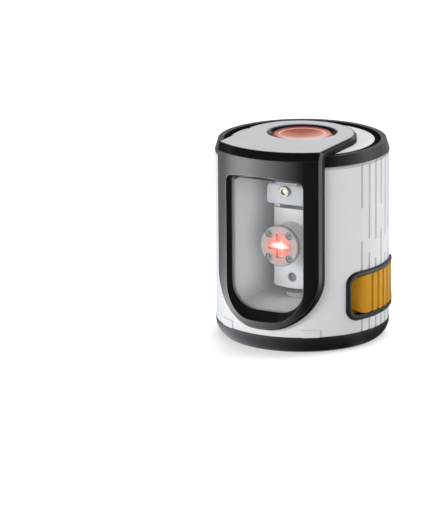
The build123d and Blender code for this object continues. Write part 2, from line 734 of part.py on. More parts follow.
def make_status_led():
    """Lamp that lights the red cap from below."""
    dome = BOARD_TOP + LED_HEIGHT - LED_RADIUS
    return upright(LED_RADIUS, BOARD_TOP, dome, LED_OFFSET) + Pos(LED_OFFSET, 0, dome) * Sphere(LED_RADIUS)


def make_circuit_board():
    """Round board under the cover."""
    board = upright(BOARD_RADIUS, BOARD_UNDER, BOARD_TOP)
    for x, y in board_places():
        board -= upright(BOARD_SCREW_RADIUS + SCREW_CLEARANCE, BOARD_UNDER - 1, BOARD_TOP + 1, x, y)
    return board


def make_board_screws():
    """Screws that hang the board on the cover's posts."""
    screws = []
    for x, y in board_places():
        head = upright(HANGER_SCREW_HEAD, BOARD_UNDER - SMALL_HEAD_HEIGHT, BOARD_UNDER, x, y)
        screws.append(head + upright(BOARD_SCREW_RADIUS, BOARD_UNDER - 0.1, BOARD_UNDER + BOARD_SCREW_LENGTH, x, y))
    return screws


def frame_outline(inset):
    """The slider frame's outline on the right side's plane."""
    corner = FRAME_CORNER - inset
    return rounded(FRAME_HALF - inset, FRAME_BOTTOM + inset, FRAME_TOP - inset, corner, corner)


def make_slider_frame():
    """Dark frame round the slider, bevelled outside, with tongues into the drum's opening."""
    frame = pipe(FRAME_RADIUS, BODY_RADIUS, 0, BODY_TOP) & right_prism(frame_outline(0), 0, FAR)
    outside = [e for e in frame.edges() if abs(math.hypot((e @ 0.5).X, (e @ 0.5).Y) - FRAME_RADIUS) < 0.01]
    frame = chamfer(outside, FRAME_EDGE)
    seat = FRAME_LAP + FRAME_FIT
    ring = pipe(BODY_RADIUS + FRAME_RAISE / 2, BODY_RADIUS - FRAME_TONGUE_DEPTH, 0, BODY_TOP)
    low = FRAME_BOTTOM + FRAME_FOOT_RIM
    high = FRAME_TOP - FRAME_RIM
    for bottom, top in ((FRAME_BOTTOM + seat, low), (high, FRAME_TOP - seat)):
        frame += ring & box(0, FAR, -FRAME_TONGUE_HALF, FRAME_TONGUE_HALF, bottom, top)
    opening = rounded(FRAME_HALF - FRAME_SIDE_RIM, low, high, FRAME_INNER_CORNER, FRAME_INNER_CORNER)
    return frame - right_prism(opening, 0, FAR)


def make_lock_slider():
    """Amber slider: a curved plate behind the wall and a fluted grip through the opening."""
    low = FRAME_BOTTOM - SLIDER_PLATE_LAP
    high = FRAME_TOP + SLIDER_PLATE_LAP
    plate = pipe(SLIDER_OUTER, SLIDER_INNER, low, high) & sector(SLIDER_PLATE_HALF_ANGLE, low, high)
    top = GRIP_TOP_HALF_ANGLE
    roll = GRIP_ROLL_HALF_ANGLE
    foot = GRIP_FOOT_HALF_ANGLE
    inner = (SLIDER_OUTER + SLIDER_INNER) / 2
    shoulder = GRIP_RADIUS - GRIP_ROLL_DROP
    outline = Curve() + [
        ThreePointArc(polar(GRIP_RADIUS, -top), (GRIP_RADIUS, 0), polar(GRIP_RADIUS, top)),
        ThreePointArc(polar(GRIP_RADIUS, top), polar(shoulder, roll), polar(inner, foot)),
        ThreePointArc(polar(inner, foot), (inner, 0), polar(inner, -foot)),
        ThreePointArc(polar(inner, -foot), polar(shoulder, -roll), polar(GRIP_RADIUS, -top)),
    ]
    grip_low = FRAME_BOTTOM + FRAME_FOOT_RIM + GRIP_GAP
    grip_high = FRAME_TOP - FRAME_RIM - GRIP_GAP
    grip = Pos(0, 0, grip_low) * extrude(make_face(outline), grip_high - grip_low)
    reach = SLIDER_OUTER * math.sin(math.radians(foot))
    grip &= right_prism(rounded(reach, grip_low, grip_high, GRIP_CORNER, GRIP_CORNER), 0, FAR)
    flute = upright(FLUTE_RADIUS, low, high, GRIP_RADIUS + FLUTE_RADIUS - FLUTE_DEPTH)
    for i in range(FLUTE_COUNT):
        grip -= Rot(0, 0, (i - (FLUTE_COUNT - 1) / 2) * FLUTE_PITCH) * flute
    slider = plate + grip
    return slider - crosswise(CAM_SCREW_RADIUS, 0, SLIDER_INNER + SLIDER_PLATE / 2, 0, CAM_SCREW_HEIGHT)


def make_lock_cam():
    """Leg behind the slider that ends in the brake's ramp."""
    leg = pipe(SLIDER_INNER, SLIDER_INNER - CAM_LEG, CAM_BOTTOM, CAM_TOP)
    leg &= sector(CAM_HALF_ANGLE, CAM_BOTTOM, CAM_TOP)
    start = PIVOT_Y - CAM_LEAD
    end = PIVOT_Y + CAM_RUN_OUT
    ramp = make_face(Polyline(
        (start, CAM_BOTTOM), (end, CAM_BOTTOM), (end, RAMP_HEIGHT + RAMP_SLOPE * CAM_RUN_OUT),
        (start, RAMP_HEIGHT - RAMP_SLOPE * CAM_LEAD), close=True,
    ))
    wedge = extrude(Plane.YZ.offset(CAM_RADIUS - CAM_WIDTH / 2) * ramp, CAM_WIDTH + 0.5)
    cam = leg + wedge
    spot = SLIDER_INNER - CAM_LEG + CAM_SPOT
    cam -= crosswise(HANGER_SCREW_HEAD + SCREW_CLEARANCE, 0, spot, 0, CAM_SCREW_HEIGHT)
    return cam - crosswise(CAM_SCREW_RADIUS, 0, FAR, 0, CAM_SCREW_HEIGHT)


def make_cam_screw():
    """Screw that joins the cam to the slider."""
    seat = SLIDER_INNER - CAM_LEG + CAM_SPOT
    head = crosswise(HANGER_SCREW_HEAD, seat - SMALL_HEAD_HEIGHT, seat, 0, CAM_SCREW_HEIGHT)
    shank = crosswise(CAM_SCREW_RADIUS, seat - 0.1, SLIDER_INNER + SLIDER_PLATE / 2, 0, CAM_SCREW_HEIGHT)
    return head + shank


def make_brake_carrier():
    """Bar that rides on the guides, with the follower at one end and the pad's column."""
    bar = box(
        -CARRIER_TAIL, CARRIER_REACH, PIVOT_Y - CARRIER_HALF, PIVOT_Y + CARRIER_HALF, CARRIER_BOTTOM, CARRIER_TOP
    )
    near = PIVOT_Y - FOLLOWER_HALF
    far = PIVOT_Y + FOLLOWER_HALF
    lift = RAMP_HEIGHT + CAM_GAP
    foot = make_face(Polyline(
        (near, lift - RAMP_SLOPE * FOLLOWER_HALF), (far, lift + RAMP_SLOPE * FOLLOWER_HALF), (far, CARRIER_TOP),
        (near, CARRIER_TOP), close=True,
    ))
    toe = CAM_RADIUS - FOLLOWER_LENGTH / 2
    bar += extrude(Plane.YZ.offset(toe) * foot, FOLLOWER_LENGTH)
    bar += box(CARRIER_REACH - 1, toe + 1, near, far, CARRIER_BOTTOM, CARRIER_TOP)
    bar += upright(COLUMN_RADIUS, CARRIER_BOTTOM, CARRIER_TOP + COLUMN_HEIGHT, 0, PIVOT_Y)
    for x in (-GUIDE_REACH, GUIDE_REACH):
        bar -= upright(GUIDE_RADIUS + RUNNING_GAP, 0, CHASSIS_FLOOR, x, PIVOT_Y)
    return bar


def make_brake_pad():
    """Rubber pad on the carrier's column."""
    bottom = CARRIER_TOP + COLUMN_HEIGHT
    pad = upright(PAD_RADIUS, bottom, bottom + PAD_THICKNESS, 0, PIVOT_Y)
    return chamfer(pad.edges().group_by(Axis.Z)[-1], PAD_THICKNESS / 4)


def make_chassis():
    """Light-grey chamber: floor, two sides and a back, on four posts."""
    front = -COLLAR_BACK + CHASSIS_GAP
    room = upright(BODY_INNER - CHASSIS_GAP, 0, BODY_TOP)
    half = CHASSIS_OUTER_HALF
    block = box(-half, half, front, CHASSIS_BACK_OUTER, CHASSIS_FLOOR, CHASSIS_TOP)
    inner = CHASSIS_INNER_HALF
    block -= box(-inner, inner, front - 1, CHASSIS_BACK, FLOOR_TOP, CHASSIS_TOP + 1)
    for x, y in ear_places():
        ear = upright(EAR_RADIUS, CHASSIS_TOP - EAR_HEIGHT, CHASSIS_TOP, x, y)
        block += ear - box(-inner, inner, -FAR, FAR, 0, BODY_TOP)
    block &= room
    for x, y in post_places():
        block += upright(POST_RADIUS, BASE_FLOOR, CHASSIS_FLOOR + CHASSIS_PLATE / 2, x, y)
        head_top = SCREW_HEAD_INSET + SCREW_HEAD_HEIGHT
        block -= upright(SCREW_RADIUS, 0, head_top + SCREW_LENGTH, x, y)
    for x, y in ear_places():
        seat = CHASSIS_TOP + HANGER_PLATE
        block -= upright(HANGER_SCREW_RADIUS, seat - HANGER_SCREW_LENGTH, BODY_TOP, x, y)
    return block - upright(COLUMN_RADIUS + COLUMN_GAP, 0, FLOOR_TOP + 1, 0, PIVOT_Y)


def make_damping_magnets():
    """Two magnets on the chamber's back wall."""
    middle = (COPPER_BOTTOM + COPPER_TOP) / 2
    return [fore_aft(MAGNET_RADIUS, CHASSIS_BACK - MAGNET_THICKNESS, CHASSIS_BACK, x, middle)
            for x in (-MAGNET_X, MAGNET_X)]


def make_hanger_bracket():
    """Bridge over the chamber with a front and a rear arm for the roll axis."""
    front = PIVOT_Y - ARM_INNER - ARM_THICKNESS
    rear = PIVOT_Y + ARM_INNER + ARM_THICKNESS
    half = EAR_X + HANGER_OVERHANG
    top = CHASSIS_TOP + HANGER_PLATE
    bridge = box(-half, half, front, rear + HANGER_OVERHANG, CHASSIS_TOP, top)
    arm_top = CHASSIS_TOP - ARM_TOP_SET
    arm_outline = rounded(ARM_HALF, PIVOT_Z - ARM_BELOW_PIVOT, arm_top, ARM_FOOT_CORNER, ARM_CORNER)
    for y0 in (front, rear - ARM_THICKNESS):
        arm = front_prism(arm_outline, -y0 - ARM_THICKNESS, -y0)
        bridge += chamfer(arm.faces().sort_by(Axis.Y)[0].edges(), ARM_EDGE)
        bridge += box(-ARM_NECK_HALF, ARM_NECK_HALF, y0 + ARM_EDGE, y0 + ARM_THICKNESS, PIVOT_Z, top)
    bridge -= fore_aft(BUSH_RADIUS, front - 1, rear + 1, 0, PIVOT_Z)
    for x, y in ear_places():
        bridge -= upright(HANGER_SCREW_RADIUS + SCREW_CLEARANCE, 0, FAR + BODY_HEIGHT, x, y)
    return bridge


def make_hanger_screws():
    """Screws from the bridge down into the chassis ears."""
    seat = CHASSIS_TOP + HANGER_PLATE
    screws = []
    for x, y in ear_places():
        head = upright(HANGER_SCREW_HEAD, seat, seat + SMALL_HEAD_HEIGHT, x, y)
        screws.append(head + upright(HANGER_SCREW_RADIUS, seat - HANGER_SCREW_LENGTH, seat + 0.1, x, y))
    return screws


def make_roll_bushes():
    """Brass bushes in the hanger's arms, the front one standing proud."""
    front = PIVOT_Y - ARM_INNER - ARM_THICKNESS
    rear = PIVOT_Y + ARM_INNER + ARM_THICKNESS
    spans = ((front - BUSH_PROUD, front + ARM_THICKNESS), (rear - ARM_THICKNESS, rear))
    return [fore_aft(BUSH_RADIUS, y0, y1, 0, PIVOT_Z)
            - fore_aft(PIN_RADIUS + PIN_GAP, y0 - 1, y1 + 1, 0, PIVOT_Z) for y0, y1 in spans]


def make_gimbal_block():
    """Block at the crossing of the two pivot axes."""
    block = box(
        -GIMBAL_HALF_X, GIMBAL_HALF_X, PIVOT_Y - GIMBAL_HALF_Y, PIVOT_Y + GIMBAL_HALF_Y,
        PIVOT_Z - GIMBAL_HALF_Z, PIVOT_Z + GIMBAL_HALF_Z,
    )
    block = chamfer(block.edges(), GIMBAL_EDGE)
    for pin in make_roll_pins() + make_pitch_pins():
        block -= pin
    return block


def make_roll_pins():
    """Steel pins along Y, from the block into the hanger's bushes."""
    reach = ARM_INNER + ARM_THICKNESS
    return [
        fore_aft(PIN_RADIUS, PIVOT_Y - reach - BUSH_PROUD / 2, PIVOT_Y - PIN_CORE, 0, PIVOT_Z),
        fore_aft(PIN_RADIUS, PIVOT_Y + PIN_CORE, PIVOT_Y + reach, 0, PIVOT_Z),
    ]


def make_pitch_pins():
    """Steel pins along X, from the block into the pendulum's bushes."""
    return [
        crosswise(PIN_RADIUS, -PENDULUM_HALF, -PIN_CORE, PIVOT_Y, PIVOT_Z),
        crosswise(PIN_RADIUS, PIN_CORE, PENDULUM_HALF, PIVOT_Y, PIVOT_Z),
    ]


def make_pitch_bushes():
    """Brass bushes in the pendulum's ears."""
    inner = GIMBAL_HALF_X + EAR_GAP
    return [crosswise(BUSH_RADIUS, x0, x1, PIVOT_Y, PIVOT_Z)
            - crosswise(PIN_RADIUS + PIN_GAP, x0 - 1, x1 + 1, PIVOT_Y, PIVOT_Z)
            for x0, x1 in ((-PENDULUM_HALF, -inner), (inner, PENDULUM_HALF))]


def make_pendulum_body():
    """Block that hangs on two ears; its foot is a ball centred on the pivot, for the brake."""
    half = PENDULUM_HALF
    block = box(-half, half, -PENDULUM_FRONT, PENDULUM_REAR, PENDULUM_BOTTOM - PENDULUM_EDGE, PENDULUM_TOP)
    block = chamfer(block.edges().filter_by(Axis.Z), PENDULUM_EDGE)
    block &= Pos(0, PIVOT_Y, PIVOT_Z) * Sphere(PENDULUM_DROP)
    inner = GIMBAL_HALF_X + EAR_GAP
    for x0, x1 in ((-half, -inner), (inner, half)):
        y0 = PIVOT_Y - PENDULUM_EAR_HALF
        y1 = PIVOT_Y + PENDULUM_EAR_HALF
        block += box(x0, x1, y0, y1, PENDULUM_TOP - 1, PIVOT_Z)
        block += crosswise(PENDULUM_EAR_HALF, x0, x1, PIVOT_Y, PIVOT_Z)
    block -= crosswise(BUSH_RADIUS, -FAR, FAR, PIVOT_Y, PIVOT_Z)
    block -= fore_aft(BARREL_SHANK_RADIUS, -FAR, BARREL_SHANK - PENDULUM_FRONT, 0, BEAM_Z)
    block -= fore_aft(TRIM_RADIUS, -FAR, TRIM_DEPTH - PENDULUM_FRONT, 0, TRIM_HEIGHT)
    return block - crosswise(TRIM_RADIUS, half - TRIM_DEPTH, FAR, TRIM_SIDE_Y, TRIM_SIDE_HEIGHT)


def make_trim_screws():
    """Balance screws, one in the front and one in the side, each at the end of its hole."""
    front_end = TRIM_DEPTH - PENDULUM_FRONT
    side_end = PENDULUM_HALF - TRIM_DEPTH
    return [
        fore_aft(TRIM_RADIUS, front_end - TRIM_LENGTH, front_end, 0, TRIM_HEIGHT),
        crosswise(TRIM_RADIUS, side_end, side_end + TRIM_LENGTH, TRIM_SIDE_Y, TRIM_SIDE_HEIGHT),
    ]


def make_copper_plate():
    """Copper plate on the pendulum's back, in the magnets' field."""
    plate = box(
        -COPPER_HALF, COPPER_HALF, PENDULUM_REAR, PENDULUM_REAR + COPPER_THICKNESS, COPPER_BOTTOM, COPPER_TOP
    )
    return chamfer(plate.edges().filter_by(Axis.Y), COPPER_THICKNESS)


def barrel_front():
    """The distance of the barrel's front face along Y."""
    return -PENDULUM_FRONT - BARREL_LENGTH


def optic_screw_places():
    """Where the optic cap is screwed to the barrel."""
    return [(x, BEAM_Z + z) for x in (-OPTIC_SCREW_X, OPTIC_SCREW_X) for z in (-OPTIC_SCREW_Z, OPTIC_SCREW_Z)]


def make_laser_barrel():
    """Barrel with a shoulder against the pendulum and a shank inside it."""
    barrel = fore_aft(BARREL_RADIUS, barrel_front(), -PENDULUM_FRONT, 0, BEAM_Z)
    barrel += fore_aft(BARREL_SHANK_RADIUS, -PENDULUM_FRONT - 1, BARREL_SHANK - PENDULUM_FRONT, 0, BEAM_Z)
    barrel -= fore_aft(BARREL_BORE, -FAR, FAR, 0, BEAM_Z)
    barrel -= make_line_lens_horizontal()
    for x, z in optic_screw_places():
        seat = barrel_front() - OPTIC_THICKNESS + LENS_RADIUS / 2 + OPTIC_SCREW_HEAD_HEIGHT
        barrel -= fore_aft(OPTIC_SCREW_RADIUS, -FAR, seat + OPTIC_SCREW_LENGTH, x, z)
    return barrel


def make_optic_cap():
    """Round cap with a crossed opening for the line lenses."""
    front = barrel_front() - OPTIC_THICKNESS
    cap = fore_aft(OPTIC_RADIUS, front, barrel_front(), 0, BEAM_Z)
    cap = chamfer(cap.edges().group_by(Axis.Y)[0], OPTIC_THICKNESS / 5)
    half = OPTIC_SLOT_LENGTH / 2
    slot = OPTIC_SLOT / 2
    cap -= box(-half, half, -FAR, 0, BEAM_Z - slot, BEAM_Z + slot)
    cap -= box(-slot, slot, -FAR, 0, BEAM_Z - half, BEAM_Z + half)
    for x, z in optic_screw_places():
        cap -= fore_aft(OPTIC_SCREW_RADIUS + SCREW_CLEARANCE / 2, -FAR, 0, x, z)
        seat = front + LENS_RADIUS / 2 + OPTIC_SCREW_HEAD_HEIGHT
        cap -= fore_aft(OPTIC_SCREW_HEAD + SCREW_CLEARANCE / 2, -FAR, seat, x, z)
    return cap


def make_cap_screws():
    """Four small screws in the optic cap."""
    seat = barrel_front() - OPTIC_THICKNESS + LENS_RADIUS / 2 + OPTIC_SCREW_HEAD_HEIGHT
    screws = []
    for x, z in optic_screw_places():
        head = fore_aft(OPTIC_SCREW_HEAD, seat - OPTIC_SCREW_HEAD_HEIGHT, seat, x, z)
        screws.append(head + fore_aft(OPTIC_SCREW_RADIUS, seat - 0.1, seat + OPTIC_SCREW_LENGTH, x, z))
    return screws


def make_line_lens_horizontal():
    """Rod lens across the cap's slot."""
    y = barrel_front() - OPTIC_THICKNESS + LENS_DEPTH
    half = OPTIC_SLOT_LENGTH / 2
    return crosswise(LENS_RADIUS, -half, half, y, BEAM_Z)


def make_line_lens_vertical():
    """Rod lens upright in the barrel's mouth."""
    y = barrel_front() - OPTIC_THICKNESS + LENS_DEPTH + LENS_STEP
    return upright(LENS_RADIUS, BEAM_Z - LENS_LENGTH / 2, BEAM_Z + LENS_LENGTH / 2, 0, y)


def make_collimator_lens():
    """Lens between the diode and the rod lenses."""
    y = barrel_front() + COLLIMATOR_DEPTH
    lens = fore_aft(BARREL_BORE, y, y + COLLIMATOR_THICKNESS, 0, BEAM_Z)
    return chamfer(lens.edges(), COLLIMATOR_THICKNESS / 5)


def make_laser_diode():
    """Diode can on its flange, with three leads."""
    back = BARREL_SHANK - PENDULUM_FRONT - DIODE_INSET
    diode = fore_aft(BARREL_BORE, back - DIODE_FLANGE, back, 0, BEAM_Z)
    diode += fore_aft(DIODE_RADIUS, back - DIODE_FLANGE - DIODE_CAN, back, 0, BEAM_Z)
    for i in range(3):
        x, z = polar(DIODE_LEAD_DISTANCE, 90 + 120 * i)
        diode += fore_aft(DIODE_LEAD_RADIUS, back - DIODE_FLANGE, back + DIODE_LEAD_LENGTH, x, BEAM_Z + z)
    return diode


def make_battery_tray():
    """Open-backed holder for two upright cells, on two legs."""
    front = CHASSIS_BACK_OUTER + TRAY_GAP
    side = CELL_X + CELL_RADIUS + TRAY_GAP
    top = CELL_BOTTOM + CELL_LENGTH + CELL_NUB + CONTACT_THICKNESS
    outer = box(-side - TRAY_WALL, side + TRAY_WALL, front, FAR, TRAY_FLOOR, top + TRAY_WALL)
    inner = box(-side, side, front + TRAY_WALL, FAR + 1, TRAY_FLOOR + TRAY_WALL, top)
    tray = (outer - inner) & upright(BODY_INNER - TRAY_CLEARANCE, 0, BODY_TOP)
    for x in (-TRAY_LEG_X, TRAY_LEG_X):
        tray += upright(TRAY_LEG_RADIUS, BASE_FLOOR, TRAY_FLOOR + TRAY_WALL / 2, x, CELL_Y)
    return tray


def make_battery_cells():
    """Two cells, one each way up."""
    cells = []
    for x, nub_up in ((-CELL_X, True), (CELL_X, False)):
        low = CELL_BOTTOM if nub_up else CELL_BOTTOM + CELL_NUB
        high = low + CELL_LENGTH - CELL_NUB
        can = upright(CELL_RADIUS, low, high, x, CELL_Y)
        can = chamfer(can.edges(), CELL_NUB / 2)
        cells.append(can + upright(CELL_NUB_RADIUS, CELL_BOTTOM, CELL_BOTTOM + CELL_LENGTH, x, CELL_Y))
    return cells


def make_cell_contacts():
    """Plate that joins the two cells at the top."""
    low = CELL_BOTTOM + CELL_LENGTH
    plate = low + CELL_NUB
    strip = box(
        -CELL_X - CONTACT_HALF, CELL_X + CONTACT_HALF, CELL_Y - CONTACT_HALF, CELL_Y + CONTACT_HALF, plate,
        plate + CONTACT_THICKNESS,
    )
    for x in (-CELL_X, CELL_X):
        strip += upright(CELL_NUB_RADIUS, low, plate + CONTACT_THICKNESS / 2, x, CELL_Y)
    return strip


def make_cell_springs():
    """Bowed leaf under each cell."""
    floor = TRAY_FLOOR + TRAY_WALL
    springs = []
    for x in (-CELL_X, CELL_X):
        lower = ThreePointArc(
            (CELL_Y - SPRING_HALF, floor), (CELL_Y, CELL_BOTTOM - SPRING_THICKNESS), (CELL_Y + SPRING_HALF, floor)
        )
        tip = SPRING_HALF + SPRING_THICKNESS
        upper = ThreePointArc((CELL_Y + tip, floor), (CELL_Y, CELL_BOTTOM), (CELL_Y - tip, floor))
        ends = [Line(lower @ 1, upper @ 0), Line(upper @ 1, lower @ 0)]
        leaf = make_face(Curve() + [lower, upper] + ends)
        springs.append(extrude(Plane.YZ.offset(x - SPRING_WIDTH / 2) * leaf, SPRING_WIDTH))
    return springs


NODES = {
    "body_shell": make_body_shell,
    "battery_door": make_battery_door,
    "door_pin": make_door_pin,
    "base_plate": make_base_plate,
    "tripod_insert": make_tripod_insert,
    "base_screws": make_base_screws,
    "top_cover": make_top_cover,
    "top_ring": make_top_ring,
    "front_bezel": make_front_bezel,
    "top_plate": make_top_plate,
    "window_pane": make_window_pane,
    "pane_seal": make_pane_seal,
    "button_cap": make_button_cap,
    "switch_plunger": make_switch_plunger,
    "push_switch": make_push_switch,
    "status_led": make_status_led,
    "circuit_board": make_circuit_board,
    "board_screws": make_board_screws,
    "slider_frame": make_slider_frame,
    "lock_slider": make_lock_slider,
    "lock_cam": make_lock_cam,
    "cam_screw": make_cam_screw,
    "brake_carrier": make_brake_carrier,
    "brake_pad": make_brake_pad,
    "chassis": make_chassis,
    "damping_magnets": make_damping_magnets,
    "hanger_bracket": make_hanger_bracket,
    "hanger_screws": make_hanger_screws,
    "roll_bushes": make_roll_bushes,
    "gimbal_block": make_gimbal_block,
    "roll_pins": make_roll_pins,
    "pitch_pins": make_pitch_pins,
    "pitch_bushes": make_pitch_bushes,
    "pendulum_body": make_pendulum_body,
    "trim_screws": make_trim_screws,
    "copper_plate": make_copper_plate,
    "laser_barrel": make_laser_barrel,
    "optic_cap": make_optic_cap,
    "cap_screws": make_cap_screws,
    "line_lens_horizontal": make_line_lens_horizontal,
    "line_lens_vertical": make_line_lens_vertical,
    "collimator_lens": make_collimator_lens,
    "laser_diode": make_laser_diode,
    "battery_tray": make_battery_tray,
    "battery_cells": make_battery_cells,
    "cell_contacts": make_cell_contacts,
    "cell_springs": make_cell_springs,
}

os.makedirs("parts", exist_ok=True)
for node, make in NODES.items():
    shape = make()
    if isinstance(shape, list):
        shape = Compound(children=shape)
    export_step(shape, f"parts/{node}.step")
    print(node, round(shape.volume, 1))
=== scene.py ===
# %% [markdown]
# # A cross line laser level
# The level is a white plastic drum with a glossy black band that frames a window and folds over the top.
# Its solids come packed from CAD, so this lesson only gives them light, a camera, finishes and the fine
# details that CAD leaves out. Everything is in metres, +Z is up and the window faces -Y.

# %% Load the frame
import math

import bmesh
import bpy
from mathutils import Matrix, Vector


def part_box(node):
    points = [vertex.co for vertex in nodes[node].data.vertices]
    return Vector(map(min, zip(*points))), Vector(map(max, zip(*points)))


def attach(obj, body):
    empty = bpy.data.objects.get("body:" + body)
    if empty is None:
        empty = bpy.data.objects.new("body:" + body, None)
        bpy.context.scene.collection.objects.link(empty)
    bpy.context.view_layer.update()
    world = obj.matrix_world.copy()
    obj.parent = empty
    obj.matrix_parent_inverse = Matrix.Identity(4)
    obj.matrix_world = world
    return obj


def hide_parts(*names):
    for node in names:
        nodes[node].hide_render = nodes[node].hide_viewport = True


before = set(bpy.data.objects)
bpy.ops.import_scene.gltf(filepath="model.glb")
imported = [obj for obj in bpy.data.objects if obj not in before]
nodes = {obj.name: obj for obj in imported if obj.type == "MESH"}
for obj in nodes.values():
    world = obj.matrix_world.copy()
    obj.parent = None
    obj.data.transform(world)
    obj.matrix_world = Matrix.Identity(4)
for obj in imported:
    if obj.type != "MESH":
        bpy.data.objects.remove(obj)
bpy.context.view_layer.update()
scene = bpy.context.scene
scene.view_settings.view_transform = "Standard"
MM = 0.001

# %% [markdown]
# ## Small helpers
# Colours are easiest to read as sRGB hex, the way a picture editor shows them, but shaders want linear
# light. Node trees get long, so one function adds a node, sets its options, plain sockets and ramp, and
# links the rest. A linked node stands for its first output, and links in a list go to the first sockets.


# %% Colours and nodes
def rgba(given):
    """Linear RGBA of an sRGB hex colour or of a plain brightness. A tuple is RGBA already."""
    if isinstance(given, tuple):
        return given
    if isinstance(given, float):
        return (given, given, given, 1.0)
    channels = [int(given[i:i + 2], 16) / 255 for i in (1, 3, 5)]
    return tuple(c / 12.92 if c <= 0.04045 else ((c + 0.055) / 1.055) ** 2.4 for c in channels) + (1.0,)


def add(tree, kind, values=None, links=(), stops=None, **settings):
    """One node with its options, plain sockets, links by socket or in order, and the stops of a ramp."""
    node = tree.nodes.new(kind)
    for name, value in settings.items():
        setattr(node, name, value)
    for name, value in (values or {}).items():
        node.inputs[name].default_value = rgba(value) if str(value).startswith("#") else value
    for name, sources in links.items() if isinstance(links, dict) else enumerate(links):
        for source in sources if isinstance(sources, list) else [sources]:
            tree.links.new(getattr(source, "outputs", [source])[0], node.inputs[name])
    if stops:
        ramp = node.color_ramp.elements
        for end, (position, colour) in zip(ramp, (stops[0], stops[-1])):
            end.position = position
            end.color = rgba(colour)
        for position, colour in stops[1:-1]:
            ramp.new(position).color = rgba(colour)
    return node


def new_material(name):
    """An empty material and its tree."""
    material = bpy.data.materials.new(name)
    material.use_nodes = True
    material.node_tree.nodes.clear()
    return material, material.node_tree


# A Mix node repeats its socket names for each kind of data, so its colour sockets go by number.
MIX_SHARE, MIX_FROM, MIX_TO, MIX_RESULT = 0, 6, 7, 2
print("a middle grey is", round(rgba("#808080")[0], 3), "in linear light")

# %% [markdown]
# ## Camera
# The photograph is a long-lens studio shot from the front right and a little above. Its lens and place
# were worked out from the drum's upright edges, which hardly converge, so the camera stands well back.
# The level sits right of the middle, which a small turn of the camera does without any lens shift.

# %% Camera
IMAGE_HEIGHT_PX = 512
FOCAL_PX = 3735.5
SENSOR_MM = 24.0
CAMERA_TURN = math.radians(26.5)
CAMERA_DISTANCE = 1.35312
CAMERA_HEIGHT = 0.39627
CAMERA_YAW = -0.0233
CAMERA_PITCH = -0.2651
CAMERA_ROLL = -0.0086
NEAREST_SEEN = 0.05

camera_data = bpy.data.cameras.new("photo_camera")
camera_data.sensor_fit = "VERTICAL"
camera_data.sensor_height = SENSOR_MM
camera_data.lens = FOCAL_PX / IMAGE_HEIGHT_PX * SENSOR_MM
camera_data.clip_start = NEAREST_SEEN
camera = bpy.data.objects.new("photo_camera", camera_data)
camera.matrix_world = (
    Matrix.Rotation(CAMERA_TURN, 4, "Z")
    @ Matrix.Translation((0, -CAMERA_DISTANCE, CAMERA_HEIGHT))
    @ Matrix.Rotation(-CAMERA_YAW, 4, "Z")
    @ Matrix.Rotation(math.pi / 2 + CAMERA_PITCH, 4, "X")
    @ Matrix.Rotation(CAMERA_ROLL, 4, "Z")
)
scene.collection.objects.link(camera)
scene.camera = camera
print("camera lens", round(camera_data.lens, 1), "mm at", [round(v, 3) for v in camera.location])

# %% [markdown]
# ## Floor
# The photograph has a plain white ground. A sheet that curves up behind would do too, but only its flat
# part is ever seen close by, so the floor is a wide flat disc.

# %% Floor
ROUND_SIDES = 96
FLOOR_RADIUS = 6.0
FLOOR_DROP = 0.3 * MM


def on_stage(name, shape):
    """Makes a finished bmesh an object of the studio, not of the level."""
    mesh = bpy.data.meshes.new(name)
    shape.to_mesh(mesh)
    shape.free()
    prop = bpy.data.objects.new(name, mesh)
    scene.collection.objects.link(prop)
    return prop


floor_shape = bmesh.new()
bmesh.ops.create_circle(floor_shape, cap_ends=True, segments=ROUND_SIDES, radius=FLOOR_RADIUS)
floor = on_stage("floor", floor_shape)
floor.location.z = -FLOOR_DROP
print("floor", 2 * FLOOR_RADIUS, "m across")

# %% [markdown]
# The paper is matt. Lamps that light it to pure white would clip the white plastic too, so it glows a
# little wherever it is looked at, and it still keeps the level's shadow.

# %% Paper
FLOOR_GLOW = 0.42
CONTACT_REACH = 0.8 * MM


def seen_not_lit(tree):
    """One for a ray from the camera, a mirror or glass, and zero for one that brings light."""
    path = add(tree, "ShaderNodeLightPath").outputs
    direct = add(
        tree, "ShaderNodeMath", operation="MAXIMUM", links=[path["Is Camera Ray"], path["Is Glossy Ray"]]
    )
    return add(tree, "ShaderNodeMath", operation="MAXIMUM", links=[direct, path["Is Transmission Ray"]])


paper, tree = new_material("matt_white_paper")
glow_strength = add(
    tree, "ShaderNodeMath", operation="MULTIPLY", values={1: FLOOR_GLOW}, links=[seen_not_lit(tree)]
)
paper_glow = add(tree, "ShaderNodeEmission", links={"Strength": glow_strength})
matt = add(tree, "ShaderNodeBsdfDiffuse", values={"Color": "#E6E6E6"})
glowing = add(tree, "ShaderNodeAddShader", links=[matt, paper_glow])
# From below the paper is clear, and it lights what stands right on it, so that the underside shows.
ray_length = add(tree, "ShaderNodeLightPath").outputs["Ray Length"]
touching = add(tree, "ShaderNodeMath", operation="LESS_THAN", values={1: CONTACT_REACH}, links=[ray_length])
contact = add(tree, "ShaderNodeEmission", links={"Strength": touching})
top_side = add(tree, "ShaderNodeAddShader", links=[glowing, contact])
under_side = add(tree, "ShaderNodeBsdfTransparent")
from_below = add(tree, "ShaderNodeNewGeometry").outputs["Backfacing"]
both_sides = add(tree, "ShaderNodeMixShader", links=[from_below, top_side, under_side])
add(tree, "ShaderNodeOutputMaterial", links=[both_sides])
floor.data.materials.append(paper)
print("paper glow", FLOOR_GLOW)

# %% [markdown]
# ## World
# A white room also fills the shadows. As bright as it looks, it would wash them out, so the world is
# white where it is seen, and only a soft fill where it lights the level.

# %% World
WORLD_FILL = 0.33

